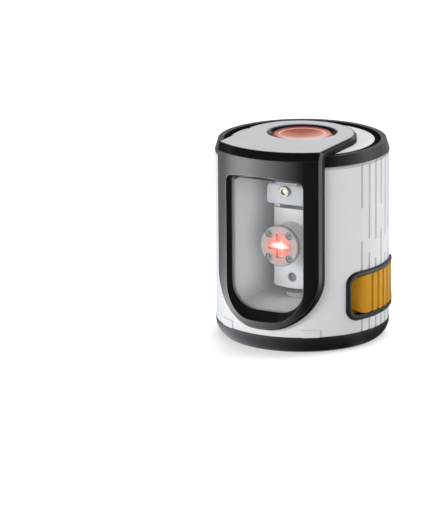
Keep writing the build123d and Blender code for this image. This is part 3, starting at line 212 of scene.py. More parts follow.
world = bpy.data.worlds.new("studio")
world.use_nodes = True
tree = world.node_tree
tree.nodes.clear()
sky_level = add(tree, "ShaderNodeMapRange", values={"To Min": WORLD_FILL}, links=[seen_not_lit(tree)])
ambient = add(tree, "ShaderNodeBackground", values={"Color": "#FFFFFF"}, links={"Strength": sky_level})
add(tree, "ShaderNodeOutputWorld", links=[ambient])
scene.world = world
print("world fill", WORLD_FILL)

# %% [markdown]
# ## Lamps
# Three soft boxes light the drum: a key at the front left, one at the back right that models the side and
# one above for the silver plate. Small lamps would draw hard shadows on the matt plastic, so all are area
# lamps. The key and the top one leave no mirror image, as the cards below draw the reflections.

# %% Soft boxes
LEVEL_MIDDLE = (0, 0, 0.04)


def soft_box(name, place, size, watts, aim=LEVEL_MIDDLE, mirrored=True):
    """An area lamp that looks at a point, with or without a mirror image in gloss."""
    lamp = bpy.data.lights.new(name, "AREA")
    lamp.shape = "RECTANGLE"
    lamp.size, lamp.size_y = size
    lamp.energy = watts
    holder = bpy.data.objects.new(name, lamp)
    holder.location = place
    holder.rotation_euler = (Vector(aim) - Vector(place)).to_track_quat("-Z", "Y").to_euler()
    holder.visible_glossy = mirrored
    holder.visible_camera = False
    scene.collection.objects.link(holder)
    print("lamp", name, watts, "W")
    return holder


soft_box("key_left", place=(-0.53, -1.14, 0.34), size=(0.5, 0.4), watts=11.3, mirrored=False)
soft_box("back_right", place=(0.90, 0.63, 0.50), size=(0.5, 0.7), watts=6.5)
soft_box("top", place=(0.0, 0.30, 1.1), size=(0.9, 0.6), watts=9.0, mirrored=False)

# %% [markdown]
# ## Light in the chamber
# The photograph shows the chamber almost as bright as the drum, but the band's frame keeps most of the
# studio's light out of it. More light outside would clip the drum, so a tiny lamp just behind the pane
# shines into the chamber's far corner.


# %% Lamp behind the pane
def corners_of(name):
    """The lowest and highest corner of a node's box."""
    return [Vector(corner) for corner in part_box(name)]


def middle_of(name):
    """The middle of a node's box."""
    return sum(corners_of(name), Vector()) / 2


BEHIND_PANE = 0.2 * MM
TO_FAR_CORNER = Vector((-0.6, 0.8, 0.0))
CORNER_SPREAD = math.radians(80)

window_middle = middle_of("window_pane")
window_middle.y = corners_of("window_pane")[1].y + BEHIND_PANE
corner_light = soft_box(
    "window", place=window_middle, size=(0.022, 0.046), watts=0.0015, aim=window_middle + TO_FAR_CORNER,
    mirrored=False,
)
corner_light.data.spread = CORNER_SPREAD

# %% [markdown]
# ## Studio cards
# A black gloss band shows what stands around it. In the photograph its left half mirrors something
# bright and its right half something dark, as from a white card and a black one. Separate cards would
# show their edges, so one ring with a low wall does both: its brightness follows the angle, and only
# mirror rays see it.

# %% Card ring
CARD_INNER = 0.029
CARD_OUTER = 0.9
CARD_LIFT = 0.5 * MM
CARD_WALL = 0.30


def only_mirrored(card):
    """Lets only mirror rays see a studio card."""
    for kind in ("camera", "diffuse", "shadow", "transmission", "volume_scatter"):
        setattr(card, "visible_" + kind, False)


card_shape = bmesh.new()
card_rings = []
for radius, height in ((CARD_INNER, CARD_LIFT), (CARD_OUTER, CARD_LIFT), (CARD_OUTER, CARD_WALL)):
    circle = bmesh.ops.create_circle(card_shape, segments=ROUND_SIDES, radius=radius)["verts"]
    for corner in circle:
        corner.co.z = height
    card_rings.append(circle)
for i in range(ROUND_SIDES):
    for inner, outer in zip(card_rings, card_rings[1:]):
        card_shape.faces.new((inner[i], inner[i - 1], outer[i - 1], outer[i]))
cards = on_stage("studio_cards", card_shape)
only_mirrored(cards)
print("card ring", 2 * CARD_OUTER, "m across")

# %% [markdown]
# The ring's tones were matched to the gloss in the photograph. A radial gradient gives the angle: a
# quarter turn is straight in front (-Y), less is to the left and more to the right.

# %% Card tones
LEVELS = [
    (0.0, 0.17), (0.031, 0.25), (0.095, 0.86), (0.122, 1.0), (0.149, 0.92), (0.198, 0.62), (0.243, 0.39),
    (0.288, 0.17), (0.309, 0.08), (0.331, 0.02), (0.42, 0.02), (0.46, 0.36), (0.60, 0.40), (0.65, 0.16),
    (0.80, 0.06), (0.93, 0.08), (1.0, 0.17),
]
RIGHT_SIDE = [(0.41, 0.0), (0.47, 1.0), (0.76, 1.0), (0.84, 0.0)]
PALE_STARTS = 0.25
PALE_MOST = 0.08
PALE_ADDS = 0.08


def cool_grey(level):
    """A brightness with the faint blue that the photograph's dark gloss has."""
    return (0.93 * level, 0.975 * level, level, 1.0)


card, tree = new_material("bright_to_black_card")
on_card = add(tree, "ShaderNodeTexCoord").outputs["Object"]
angle = add(tree, "ShaderNodeTexGradient", gradient_type="RADIAL", links=[on_card]).outputs["Fac"]
round_level, right_side = (
    add(tree, "ShaderNodeValToRGB", stops=stops, links=[angle])
    for stops in ([(at, cool_grey(level)) for at, level in LEVELS], RIGHT_SIDE)
)
# On the right the table is a little paler towards the level.
reach = add(tree, "ShaderNodeVectorMath", operation="LENGTH", links=[on_card]).outputs["Value"]
near = add(
    tree, "ShaderNodeMapRange", interpolation_type="SMOOTHSTEP", links=[reach],
    values={"From Min": PALE_STARTS, "From Max": PALE_MOST, "To Max": PALE_ADDS},
)
pale_table = add(tree, "ShaderNodeMath", operation="MULTIPLY", links=[right_side, near])
card_tone = add(
    tree, "ShaderNodeMix", data_type="RGBA", blend_type="ADD", values={MIX_SHARE: 1.0},
    links={MIX_FROM: round_level, MIX_TO: pale_table},
).outputs[MIX_RESULT]
print("card ring with", len(LEVELS), "tones")

# %% [markdown]
# The card's light also changes with distance and height. The level shades the table at its foot, most on
# the right. The wall fades upwards, so that flat tops don't catch it from behind, and only its right side
# stays bright to the rim.

# %% Card light
CARD_LIGHT = 6.0
FOOT_SHADE, FOOT_LEAVES = (0.05, 0.08), 0.3
RIGHT_SHADE, RIGHT_LEAVES = (0.06, 0.12), 0.1
WALL_FADE, WALL_LEAVES = (0.03, 0.14), 0.12


def place_in(tree):
    """A point's X, Y and Z on its own object, in metres."""
    spot = add(tree, "ShaderNodeTexCoord").outputs["Object"]
    return add(tree, "ShaderNodeSeparateXYZ", links=[spot]).outputs


out_of_shade = add(
    tree, "ShaderNodeMapRange", links=[reach],
    values={
        "From Min": FOOT_SHADE[0], "From Max": FOOT_SHADE[1],
        "To Min": FOOT_LEAVES * CARD_LIGHT, "To Max": CARD_LIGHT,
    },
)
right_shade = add(
    tree, "ShaderNodeMapRange", links=[reach],
    values={"From Min": RIGHT_SHADE[0], "From Max": RIGHT_SHADE[1], "To Min": RIGHT_LEAVES},
)
shade = add(
    tree, "ShaderNodeMapRange", values={"To Min": 1.0}, links={"Value": right_side, "To Max": right_shade}
)
low_part = add(
    tree, "ShaderNodeMapRange", links=[place_in(tree)["Z"]],
    values={"From Min": WALL_FADE[0], "From Max": WALL_FADE[1], "To Min": 1.0, "To Max": WALL_LEAVES},
)
lit_part = add(tree, "ShaderNodeMath", operation="MAXIMUM", links=[low_part, right_side])
shaded_part = add(tree, "ShaderNodeMath", operation="MULTIPLY", links=[lit_part, shade])
card_strength = add(tree, "ShaderNodeMath", operation="MULTIPLY", links=[out_of_shade, shaded_part])
card_shine = add(tree, "ShaderNodeEmission", links=[card_tone, card_strength])
add(tree, "ShaderNodeOutputMaterial", links=[card_shine])
cards.data.materials.append(card)
print("card light", CARD_LIGHT)

# %% [markdown]
# ## Hood
# Photographers keep the room out of black gloss with a hood of dark cloth. Here a ball that only mirror
# rays see is enough. It covers what lies above and in front of the level and is open low at the back,
# where mirrors see the white ground.

# %% Hood
HOOD_RADIUS = 2.5
HOOD_DARK = 0.08

hood_shape = bmesh.new()
bmesh.ops.create_icosphere(hood_shape, subdivisions=5, radius=HOOD_RADIUS)
hood = on_stage("black_hood", hood_shape)
only_mirrored(hood)

cloth, tree = new_material("black_hood_cloth")
on_hood = place_in(tree)
behind, not_overhead = (
    add(
        tree, "ShaderNodeMapRange", links=[on_hood[axis]],
        values={"From Min": closed * HOOD_RADIUS, "From Max": opened * HOOD_RADIUS},
    )
    for axis, closed, opened in (("Y", 0.5, 0.85), ("Z", 0.5, 0.3))
)
opening = add(tree, "ShaderNodeMath", operation="MULTIPLY", links=[behind, not_overhead])
dark_side = add(tree, "ShaderNodeEmission", values={"Strength": HOOD_DARK})
open_side = add(tree, "ShaderNodeBsdfTransparent")
soft_edge = add(tree, "ShaderNodeMixShader", links=[opening, dark_side, open_side])
add(tree, "ShaderNodeOutputMaterial", links=[soft_edge])
hood.data.materials.append(cloth)
print("hood", 2 * HOOD_RADIUS, "m across")

# %% [markdown]
# ## Even shading on the solids
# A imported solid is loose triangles, so its round walls would look faceted. The solid itself has to stay
# as it is, so a small Geometry Nodes tree joins the triangles and shades smoothly across every edge that
# bends less than a limit, as a live modifier.


# %% Even shading tree
def new_tree(name, inputs):
    """A Geometry Nodes tree, what its group input gives and the identifiers of its inputs by label."""
    tree = bpy.data.node_groups.new(name, "GeometryNodeTree")
    sockets = {}
    for label, kind in inputs.items():
        socket = tree.interface.new_socket(label, in_out="INPUT", socket_type="NodeSocket" + kind)
        sockets[label] = socket.identifier
    tree.interface.new_socket("Geometry", in_out="OUTPUT", socket_type="NodeSocketGeometry")
    return tree, add(tree, "NodeGroupInput").outputs, sockets


WELD_REACH = 0.002 * MM

even, given, even_sockets = new_tree(
    "even_shading", {"Geometry": "Geometry", "Sharpest smooth bend": "Float"}
)
plain = add(
    even, "GeometryNodeRemoveAttribute", values={"Name": "custom_normal"}, links=[given["Geometry"]]
)
joined = add(even, "GeometryNodeMergeByDistance", values={"Distance": WELD_REACH}, links=[plain])
bend = add(even, "GeometryNodeInputMeshEdgeAngle").outputs["Unsigned Angle"]
sharp = add(
    even, "FunctionNodeCompare", operation="GREATER_THAN", links=[bend, given["Sharpest smooth bend"]]
)
smooth = add(even, "GeometryNodeSetShadeSmooth", links=[joined])
creased = add(
    even, "GeometryNodeSetShadeSmooth", domain="EDGE", values={"Shade Smooth": False}, links=[smooth, sharp]
)
add(even, "NodeGroupOutput", links=[creased])
print("even shading tree with", len(even.nodes), "nodes")

# %% Even shading
SMOOTH_BEND = 28
# The band's brow leans back by only 21 degrees, and its lower edge still reads as a crisp line.
CRISP_BEND = {"front_bezel": 15}


def put_tree(thing, tree, sockets, values):
    """A tree as a live modifier, with its inputs set."""
    modifier = thing.modifiers.new(tree.name, "NODES")
    modifier.node_group = tree
    for label, value in values.items():
        modifier[sockets[label]] = value


for name, solid in nodes.items():
    limit = math.radians(CRISP_BEND.get(name, SMOOTH_BEND))
    put_tree(solid, even, even_sockets, {"Sharpest smooth bend": limit})
print("smoothed", len(nodes), "nodes")

# %% [markdown]
# ## Moulded plastics
# Most of the level is injection-moulded ABS. Its mould is spark-etched, so it has a fine grain that
# breaks up highlights, a slow colour drift from the melt's flow and slightly rounded edges. A flat colour
# would show none of that, so one function makes them all from noise. The grain is drawn coarser than the
# real 0.05 mm so that it shows.

# %% Moulded finish
FLOW_WIDTH = 18 * MM
GRAIN_HEIGHT = 0.05 * MM
GLOSS_SPREAD = 0.05
ABS_IOR = 1.53


def paint(material, shader, *names):
    """Ends a material with its main shader and puts it on CAD nodes."""
    add(material.node_tree, "ShaderNodeOutputMaterial", links=[shader])
    for name in names:
        slots = nodes[name].data.materials
        slots.clear()
        slots.append(material)
    print(material.name, "on", ", ".join(names) or "chosen faces")


def moulded(
    name, colour, drift, roughness, grain_mm=0.4, grain_depth=0.25, edge_mm=0.25, mirror=0.5,
    edge_highlight=0.0, on=(),
):
    """Moulded or lacquered: etched grain, slight colour drift and soft edges that may get a pale painted
    highlight.
    """
    material, tree = new_material(name)
    place = add(tree, "ShaderNodeTexCoord").outputs["Object"]
    flow = add(tree, "ShaderNodeTexNoise", values={"Scale": 1 / FLOW_WIDTH}, links=[place])
    tone = add(
        tree, "ShaderNodeMix", data_type="RGBA", values={MIX_FROM: colour, MIX_TO: drift}, links=[flow]
    ).outputs[MIX_RESULT]
    grain = add(
        tree, "ShaderNodeTexNoise", values={"Scale": 1 / (grain_mm * MM), "Detail": 1.0}, links=[place]
    )
    gloss = add(
        tree, "ShaderNodeMapRange", links=[grain],
        values={"To Min": roughness - GLOSS_SPREAD, "To Max": roughness + GLOSS_SPREAD},
    )
    edges = add(tree, "ShaderNodeBevel", values={"Radius": edge_mm * MM})
    bumps = add(
        tree, "ShaderNodeBump", values={"Strength": grain_depth, "Distance": GRAIN_HEIGHT},
        links={"Height": grain, "Normal": edges},
    )
    # A rounded edge is where the soft normal leaves the flat one, and there a pale painted highlight is
    # mixed in.
    flat_normal = add(tree, "ShaderNodeNewGeometry").outputs["Normal"]
    agree = add(tree, "ShaderNodeVectorMath", operation="DOT_PRODUCT", links=[edges, flat_normal])
    on_edge = add(
        tree, "ShaderNodeMapRange", values={"From Min": 0.985, "From Max": 0.88, "To Max": edge_highlight},
        links=[agree.outputs["Value"]],
    )
    painted_edge_tone = add(
        tree, "ShaderNodeMix", data_type="RGBA", values={MIX_TO: "#F0F2F4"},
        links={MIX_SHARE: on_edge, MIX_FROM: tone},
    ).outputs[MIX_RESULT]
    skin = add(
        tree, "ShaderNodeBsdfPrincipled", values={"IOR": ABS_IOR, "Specular IOR Level": mirror},
        links={"Base Color": painted_edge_tone, "Roughness": gloss, "Normal": bumps},
    )
    paint(material, skin, *on)
    return material


white_abs = moulded(
    "etched_white_abs", "#DCDEE1", "#D6D8DB", roughness=0.46, grain_mm=0.35, mirror=0.2,
    on=["body_shell", "battery_door", "top_cover"],
)

# %% Grey, black and amber plastics
moulded(
    "etched_grey_abs", "#E6E8EA", "#DFE2E5", roughness=0.5, mirror=0.3, on=["chassis", "brake_carrier"]
)
moulded("satin_grey_abs", "#B0B3B7", "#A8ABAF", roughness=0.42, mirror=0.3, on=["hanger_bracket"])
moulded(
    "etched_black_abs", "#191E23", "#14191E", roughness=0.42, grain_depth=0.4,
    on=["base_plate", "battery_tray", "switch_plunger", "push_switch"],
)
moulded(
    "etched_dark_abs", "#1C2022", "#171B1D", roughness=0.38, grain_depth=0.4, edge_mm=0.4, mirror=0.35,
    on=["slider_frame", "lock_cam"],
)
moulded(
    "silver_lacquered_abs", "#BEC0C4", "#B6B8BC", roughness=0.34, grain_mm=0.3, grain_depth=0.2,
    mirror=0.25, on=["top_plate"],
)
moulded(
    "etched_amber_abs", "#CC951F", "#C48B18", roughness=0.36, grain_mm=0.35, edge_mm=0.35, mirror=0.08,
    on=["lock_slider"],
)
# The band's rounded edges get a pale painted highlight.
moulded(
    "polished_black_abs", "#070A0D", "#05080A", roughness=0.13, grain_mm=0.6, grain_depth=0.02,
    edge_mm=0.35, edge_highlight=0.25, on=["front_bezel"],
)

# %% [markdown]
# ## Parting line
# A shallow groove runs round the drum under the bumper ring, where the mould closed. It is too fine for
# the solids, so the white plastic's own tree paints the shade in it by height, a little darker than the
# drum.

# %% Parting line
LINE_DROP = 0.95 * MM
LINE_HALF = 0.22 * MM
LINE_SHADE = 0.5


def skin_of(material):
    """A finished material's tree and its main shader."""
    tree = material.node_tree
    return tree, next(node for node in tree.nodes if node.type == "BSDF_PRINCIPLED")


line_height = corners_of("body_shell")[1].z - LINE_DROP
tree, white_skin = skin_of(white_abs)
plain_white = white_skin.inputs["Base Color"].links[0].from_socket
above_line = add(
    tree, "ShaderNodeMath", operation="SUBTRACT", values={1: line_height}, links=[place_in(tree)["Z"]]
)
off_line = add(tree, "ShaderNodeMath", operation="ABSOLUTE", links=[above_line])
groove_shade = add(
    tree, "ShaderNodeMapRange", interpolation_type="SMOOTHSTEP", links=[off_line],
    values={"From Min": 1.5 * LINE_HALF, "From Max": 0.5 * LINE_HALF, "To Max": LINE_SHADE},
)
# The groove is painted shade: the white is mixed towards grey in a thin band.
groove_shaded = add(
    tree, "ShaderNodeMix", data_type="RGBA", values={MIX_TO: "#8E9296"},
    links={MIX_SHARE: groove_shade, MIX_FROM: plain_white},
)
tree.links.new(groove_shaded.outputs[MIX_RESULT], white_skin.inputs["Base Color"])
print("parting line", round(line_height / MM, 2), "mm up the drum")

# %% [markdown]
# ## Matt walls on the band
# Only the band's front is polished. Its side walls, those round the window and the upright ones of its
# arm over the top are etched, which keeps stray light off the pane. The band is one solid, so a second
# tree finds them: they look sideways below the brow, or stand upright without facing the front.

# %% Matt walls
BROW_FOOT = 66 * MM

matt_black_abs = moulded(
    "spark_etched_black_abs", "#0C1013", "#0A0D10", roughness=0.55, grain_depth=0.4, mirror=0.12
)
walls, given, wall_sockets = new_tree("matt_walls", {
    "Geometry": "Geometry", "Most forward": "Float", "Highest": "Float", "Most upward": "Float",
    "Finish": "Material",
})
facing, spot = (
    add(walls, "ShaderNodeSeparateXYZ", links=[add(walls, "GeometryNodeInput" + what)]).outputs
    for what in ("Normal", "Position")
)
forwards = add(walls, "ShaderNodeMath", operation="ABSOLUTE", links=[facing["Y"]])
upwards = add(walls, "ShaderNodeMath", operation="ABSOLUTE", links=[facing["Z"]])
to_front = add(walls, "ShaderNodeMath", operation="MULTIPLY", values={1: -1.0}, links=[facing["Y"]])
sideways, below, upright, not_front = (
    add(walls, "FunctionNodeCompare", operation="LESS_THAN", links=[measure, given[limit]])
    for measure, limit in (
        (forwards, "Most forward"), (spot["Z"], "Highest"),
        (upwards, "Most upward"), (to_front, "Most forward"),
    )
)
low_wall = add(walls, "FunctionNodeBooleanMath", operation="AND", links=[sideways, below])
arm_wall = add(walls, "FunctionNodeBooleanMath", operation="AND", links=[upright, not_front])
either_wall = add(walls, "FunctionNodeBooleanMath", operation="OR", links=[low_wall, arm_wall])
matted = add(
    walls, "GeometryNodeSetMaterial", links=[given["Geometry"], either_wall, given["Finish"]]
)
add(walls, "NodeGroupOutput", links=[matted])

put_tree(nodes["front_bezel"], walls, wall_sockets, {
    "Most forward": 0.41, "Highest": BROW_FOOT, "Most upward": 0.3, "Finish": matt_black_abs,
})
print("matt walls below", round(BROW_FOOT / MM, 1), "mm and on the arm")

# %% [markdown]
# ## Metals
# Inside, brass bushes, steel pins and screws, a copper plate and an aluminium block have their own
# colours. Turning and drawing leave fine lines, which an even gloss would miss, so a noise stretched
# along one axis varies the gloss.

# %% Metal finish
LINE_STRETCH = 0.03
METAL_SPREAD = 0.08
METAL_EDGE = 0.15 * MM
LINE_RELIEF = 0.03 * MM


def machined_metal(name, colour, roughness, lines_mm, along, on):
    """A turned or drawn metal: fine lines along one axis vary its gloss."""
    material, tree = new_material(name)
    place = add(tree, "ShaderNodeTexCoord").outputs["Object"]
    squeeze = [1 / (lines_mm * MM)] * 3
    squeeze["XYZ".index(along)] *= LINE_STRETCH
    stretched = add(tree, "ShaderNodeMapping", values={"Scale": squeeze}, links=[place])
    lines = add(tree, "ShaderNodeTexNoise", values={"Scale": 1.0}, links=[stretched])
    gloss = add(
        tree, "ShaderNodeMapRange", links=[lines],
        values={"To Min": roughness - METAL_SPREAD, "To Max": roughness + METAL_SPREAD},
    )
    edges = add(tree, "ShaderNodeBevel", values={"Radius": METAL_EDGE})
    bumps = add(
        tree, "ShaderNodeBump", values={"Strength": 0.15, "Distance": LINE_RELIEF},
        links={"Height": lines, "Normal": edges},
    )
    skin = add(
        tree, "ShaderNodeBsdfPrincipled", values={"Base Color": colour, "Metallic": 1.0},
        links={"Roughness": gloss, "Normal": bumps},
    )
    paint(material, skin, *on)
    return material


steel = machined_metal(
    "turned_steel", "#B9BABC", roughness=0.34, lines_mm=0.12, along="Z",
    on=[
        "base_screws", "board_screws", "cam_screw", "hanger_screws", "roll_pins", "pitch_pins", "door_pin",
        "laser_diode", "cell_contacts", "cell_springs",
    ],
)

# %% Other metals
brass = machined_metal(
    "turned_brass", "#C2AC72", roughness=0.3, lines_mm=0.12, along="Y", on=["tripod_insert", "pitch_bushes"]
)
machined_metal("tinned_brass", "#8F8E78", roughness=0.4, lines_mm=0.12, along="Y", on=["roll_bushes"])
machined_metal("rolled_copper", "#C98660", roughness=0.34, lines_mm=0.2, along="X", on=["copper_plate"])
machined_metal("nickel_plate", "#A9A9AC", roughness=0.22, lines_mm=0.2, along="X", on=["damping_magnets"])
machined_metal("turned_aluminium", "#CFD1D3", roughness=0.38, lines_mm=0.12, along="Y", on=["gimbal_block"])

# %% [markdown]
# ## Rubber, lacquer and dark screws
# The bumper ring is firm rubber with a slight polish, and the seal and the brake pad are soft and matt.
# The zinc pendulum and the barrel wear lacquer, the small screws are blackened and the board is green.
# All of these have a fine grain and soft edges, so the moulded finish makes them too.

# %% Rubber and lacquer
moulded(
    "polished_black_rubber", "#10151B", "#0C1116", roughness=0.28, grain_mm=0.5, grain_depth=0.3,
    edge_mm=0.3, mirror=0.23, on=["top_ring"],
)
moulded(
    "soft_grey_pad_rubber", "#A4A6A8", "#989A9C", roughness=0.8, grain_mm=0.6, grain_depth=0.8,
    on=["brake_pad"],
)
moulded(
    "soft_grey_silicone", "#B4B6B8", "#A9ABAD", roughness=0.6, grain_mm=0.5, grain_depth=0.4,
    on=["pane_seal"],
)
moulded(
    "lacquered_zinc_casting", "#CACCCE", "#C2C4C7", roughness=0.4, grain_mm=0.5, grain_depth=0.4,
    on=["pendulum_body"],
)
barrel_lacquer = moulded(
    "grey_lacquered_aluminium", "#E4E1DF", "#DAD7D5", roughness=0.42, grain_depth=0.3, on=["laser_barrel"]
)
dark_screw = moulded(
    "black_oxide_steel", "#77797B", "#6A6C6E", roughness=0.4, grain_mm=0.3, grain_depth=0.3,
    on=["cap_screws"],
)
moulded(
    "blackened_brass", "#6F7173", "#626466", roughness=0.4, grain_mm=0.3, grain_depth=0.3,
    on=["trim_screws"],
)
moulded(
    "green_solder_resist", "#1F5B3A", "#1A4F32", roughness=0.35, grain_mm=0.6, grain_depth=0.2,
    on=["circuit_board"],
)

# %% [markdown]
# ## Zones on the bumper ring
# The ring's flat crest is glossier and painted lighter, a painted sheen, and the slope inside it is matt
# and painted darker, a painted shade. The ring is one solid, so a third tree tells them apart by how far
# their faces lean.

# %% Ring zones
# The crest's lighter colour is a painted sheen.
crest_painted_sheen = moulded(
    "black_rubber_painted_sheen", "#262B31", "#21262B", roughness=0.26, grain_mm=0.5, grain_depth=0.08,
    edge_mm=0.3, mirror=0.7,
)
# The slope's darker colour is painted shade; it is also matt.
slope_painted_shade = moulded(
    "matt_black_rubber_painted_shade", "#050607", "#040506", roughness=0.6, grain_mm=0.5, grain_depth=0.3,
    edge_mm=0.1, mirror=0.02,
)
zones, given, zone_sockets = new_tree("ring_zones", {
    "Geometry": "Geometry", "Crest from": "Float", "Slope from": "Float", "Crest": "Material",
    "Slope": "Material",
})
upward = add(zones, "ShaderNodeSeparateXYZ", links=[add(zones, "GeometryNodeInputNormal")]).outputs["Z"]
dressed = given["Geometry"]
for finish in ("Slope", "Crest"):
    leaning = add(
        zones, "FunctionNodeCompare", operation="GREATER_THAN", links=[upward, given[finish + " from"]]
    )
    dressed = add(zones, "GeometryNodeSetMaterial", links=[dressed, leaning, given[finish]])
add(zones, "NodeGroupOutput", links=[dressed])

put_tree(nodes["top_ring"], zones, zone_sockets, {
    "Crest from": 0.995, "Slope from": 0.9, "Crest": crest_painted_sheen, "Slope": slope_painted_shade,
})

# %% [markdown]
# ## Clear pane
# The pane is flat polycarbonate, almost invisible face-on and milky at a glancing angle. Real refraction
# would darken the chamber, so it is a thin see-through skin. Its opacity grows with the fifth power of
# the slant, the usual stand-in for Fresnel, which is the same from both of its faces.

# %% Pane
FACE_ON_OPACITY = 0.04
FRESNEL_POWER = 5.0

pane, tree = new_material("clear_polycarbonate")
slant = add(tree, "ShaderNodeLayerWeight").outputs["Facing"]
steep = add(tree, "ShaderNodeMath", operation="POWER", values={1: FRESNEL_POWER}, links=[slant])
opacity = add(tree, "ShaderNodeMapRange", values={"To Min": FACE_ON_OPACITY}, links=[steep])
pane_skin = add(
    tree, "ShaderNodeBsdfPrincipled", values={"Base Color": "#C9D0D3", "Roughness": 0.03, "IOR": 1.45},
    links={"Alpha": opacity},
)
paint(pane, pane_skin, "window_pane")

# %% [markdown]
# ## Push button
# The button is a dished cap of tinted red plastic. Its colour carries painted light and shade: pale at its
# front right, deep red at its back left, with a faint painted glow. Glass with a real lamp would be slow
# and noisy, so the cap's own tree paints them from the distance to the button's axis and from where a point
# lies between front and back.

# %% Button zones
ROUND_Z = (1, 1, 0)
BUTTON_OUTER = 11.45 * MM
TO_BACK_LEFT = (-0.57, 0.82, 0.0)
DISH_RING_WIDTH = 1.1 * MM
RIM_BEGINS = (0.76, 0.79)
SLOPE_BEGINS = (0.905, 0.935)


def distance_from(tree, centre, mask):
    """How far a point lies from an axis, in metres: the mask is zero along the axis."""
    place = add(tree, "ShaderNodeTexCoord").outputs["Object"]
    shifted = add(tree, "ShaderNodeVectorMath", operation="SUBTRACT", values={1: centre}, links=[place])
    flat = add(tree, "ShaderNodeVectorMath", operation="MULTIPLY", values={1: mask}, links=[shifted])
    return add(tree, "ShaderNodeVectorMath", operation="LENGTH", links=[flat]).outputs["Value"]


red_button, tree = new_material("tinted_red_polycarbonate")
from_axis = distance_from(tree, middle_of("button_cap"), ROUND_Z)
button_share = add(tree, "ShaderNodeMath", operation="DIVIDE", values={1: BUTTON_OUTER}, links=[from_axis])
depth = add(
    tree, "ShaderNodeVectorMath", operation="DOT_PRODUCT", values={1: TO_BACK_LEFT},
    links=[add(tree, "ShaderNodeTexCoord").outputs["Object"]],
).outputs["Value"]
# From the lit front right to the shaded back left: this carries the painted light and shade.
towards_back = add(
    tree, "ShaderNodeMapRange", values={"From Min": -BUTTON_OUTER, "From Max": BUTTON_OUTER}, links=[depth]
)
ring_turn = add(
    tree, "ShaderNodeMath", operation="MULTIPLY", values={1: 2 * math.pi / DISH_RING_WIDTH},
    links=[from_axis],
)
wave = add(tree, "ShaderNodeMath", operation="SINE", links=[ring_turn])
on_rim, on_slope = (
    add(tree, "ShaderNodeMapRange", values={"From Min": start, "From Max": end}, links=[button_share])
    for start, end in (RIM_BEGINS, SLOPE_BEGINS)
)
print("button", round(2 * BUTTON_OUTER / MM, 1), "mm across")

# %% [markdown]
# Ramps colour the dish, the rim and the outer slope, with painted light and shade. The dish is painted
# palest near its rim, and its moulded rings show faintly. A painted highlight line runs where the rim
# meets the dish, and the slope is painted pale in front and deep red behind.

# %% Button colours
RIM_PALES = -0.28
RINGS_SHOW = 0.04

outwards = add(tree, "ShaderNodeMath", operation="POWER", values={1: 2.0}, links=[button_share])
paler = add(
    tree, "ShaderNodeMath", operation="MULTIPLY_ADD", values={1: RIM_PALES},
    links={0: outwards, 2: towards_back},
)
ringed = add(
    tree, "ShaderNodeMath", operation="MULTIPLY_ADD", values={1: RINGS_SHOW}, links={0: wave, 2: paler}
)
dish, rim, slope, highlight_line = (
    add(tree, "ShaderNodeValToRGB", stops=stops, links=[along])
    for along, stops in (
        (ringed, [
            (0.0, "#EED6CE"), (0.14, "#E2BEB4"), (0.30, "#C89484"), (0.46, "#B0705A"), (0.62, "#96482E"),
            (0.8, "#84300F"), (1.0, "#7C2612"),
        ]),
        (towards_back, [(0.0, "#F0DAD5"), (0.5, "#BE6C62"), (0.72, "#84241B"), (1.0, "#5E0C09")]),
        (towards_back, [(0.08, "#DDBCB6"), (0.3, "#B05A52"), (0.5, "#8E1614"), (0.9, "#5E0C09")]),
        (button_share, [(0.70, 0.0), (0.735, 0.6), (0.765, 0.6), (0.79, 0.0)]),
    )
)
dish_or_rim = add(
    tree, "ShaderNodeMix", data_type="RGBA", links={MIX_SHARE: on_rim, MIX_FROM: dish, MIX_TO: rim}
).outputs[MIX_RESULT]
# A pale painted highlight line between the dish and the rim.
with_highlight_line = add(
    tree, "ShaderNodeMix", data_type="RGBA", values={MIX_TO: "#F2C2B4"},
    links={MIX_SHARE: highlight_line, MIX_FROM: dish_or_rim},
).outputs[MIX_RESULT]
red_tint_and_painted_light = add(
    tree, "ShaderNodeMix", data_type="RGBA", links={MIX_SHARE: on_slope, MIX_FROM: with_highlight_line, MIX_TO: slope}
).outputs[MIX_RESULT]
print("button stops", [len(ramp.color_ramp.elements) for ramp in (dish, rim, slope, highlight_line)])

# %% Button skin
SOFT_EDGE = 0.2 * MM
RIPPLE_HEIGHT = 0.05 * MM

button_edges = add(tree, "ShaderNodeBevel", values={"Radius": SOFT_EDGE})
ripple = add(
    tree, "ShaderNodeBump", values={"Strength": 0.25, "Distance": RIPPLE_HEIGHT},
    links={"Height": wave, "Normal": button_edges},
)
# The faint emission in the button's own colours is a painted glow.
button_skin = add(
    tree, "ShaderNodeBsdfPrincipled",
    values={"Roughness": 0.2, "IOR": 1.5, "Specular IOR Level": 0.2, "Emission Strength": 0.05},
    links={"Base Color": red_tint_and_painted_light, "Emission Color": red_tint_and_painted_light, "Normal": ripple},
)
paint(red_button, button_skin, "button_cap")

# %% [markdown]
# ## Optic cap
# The barrel's cap is frosted plastic that the beam lights from inside, red near the crossed slots and
# pale at its rim. Scattered light would need many samples, so two ramps from the axis outwards paint this
# light into its tint and give it a painted glow, and a fine noise frosts its gloss.

# %% Optic cap
ROUND_Y = (1, 0, 1)
FROST_WIDTH = 0.5 * MM

cap_low, cap_high = corners_of("optic_cap")
cap_middle = middle_of("optic_cap")
cap_radius = (cap_high.x - cap_low.x) / 2
frosted_cap, tree = new_material("frosted_polycarbonate")
cap_share = add(
    tree, "ShaderNodeMath", operation="DIVIDE", values={1: cap_radius},
    links=[distance_from(tree, cap_middle, ROUND_Y)],
)
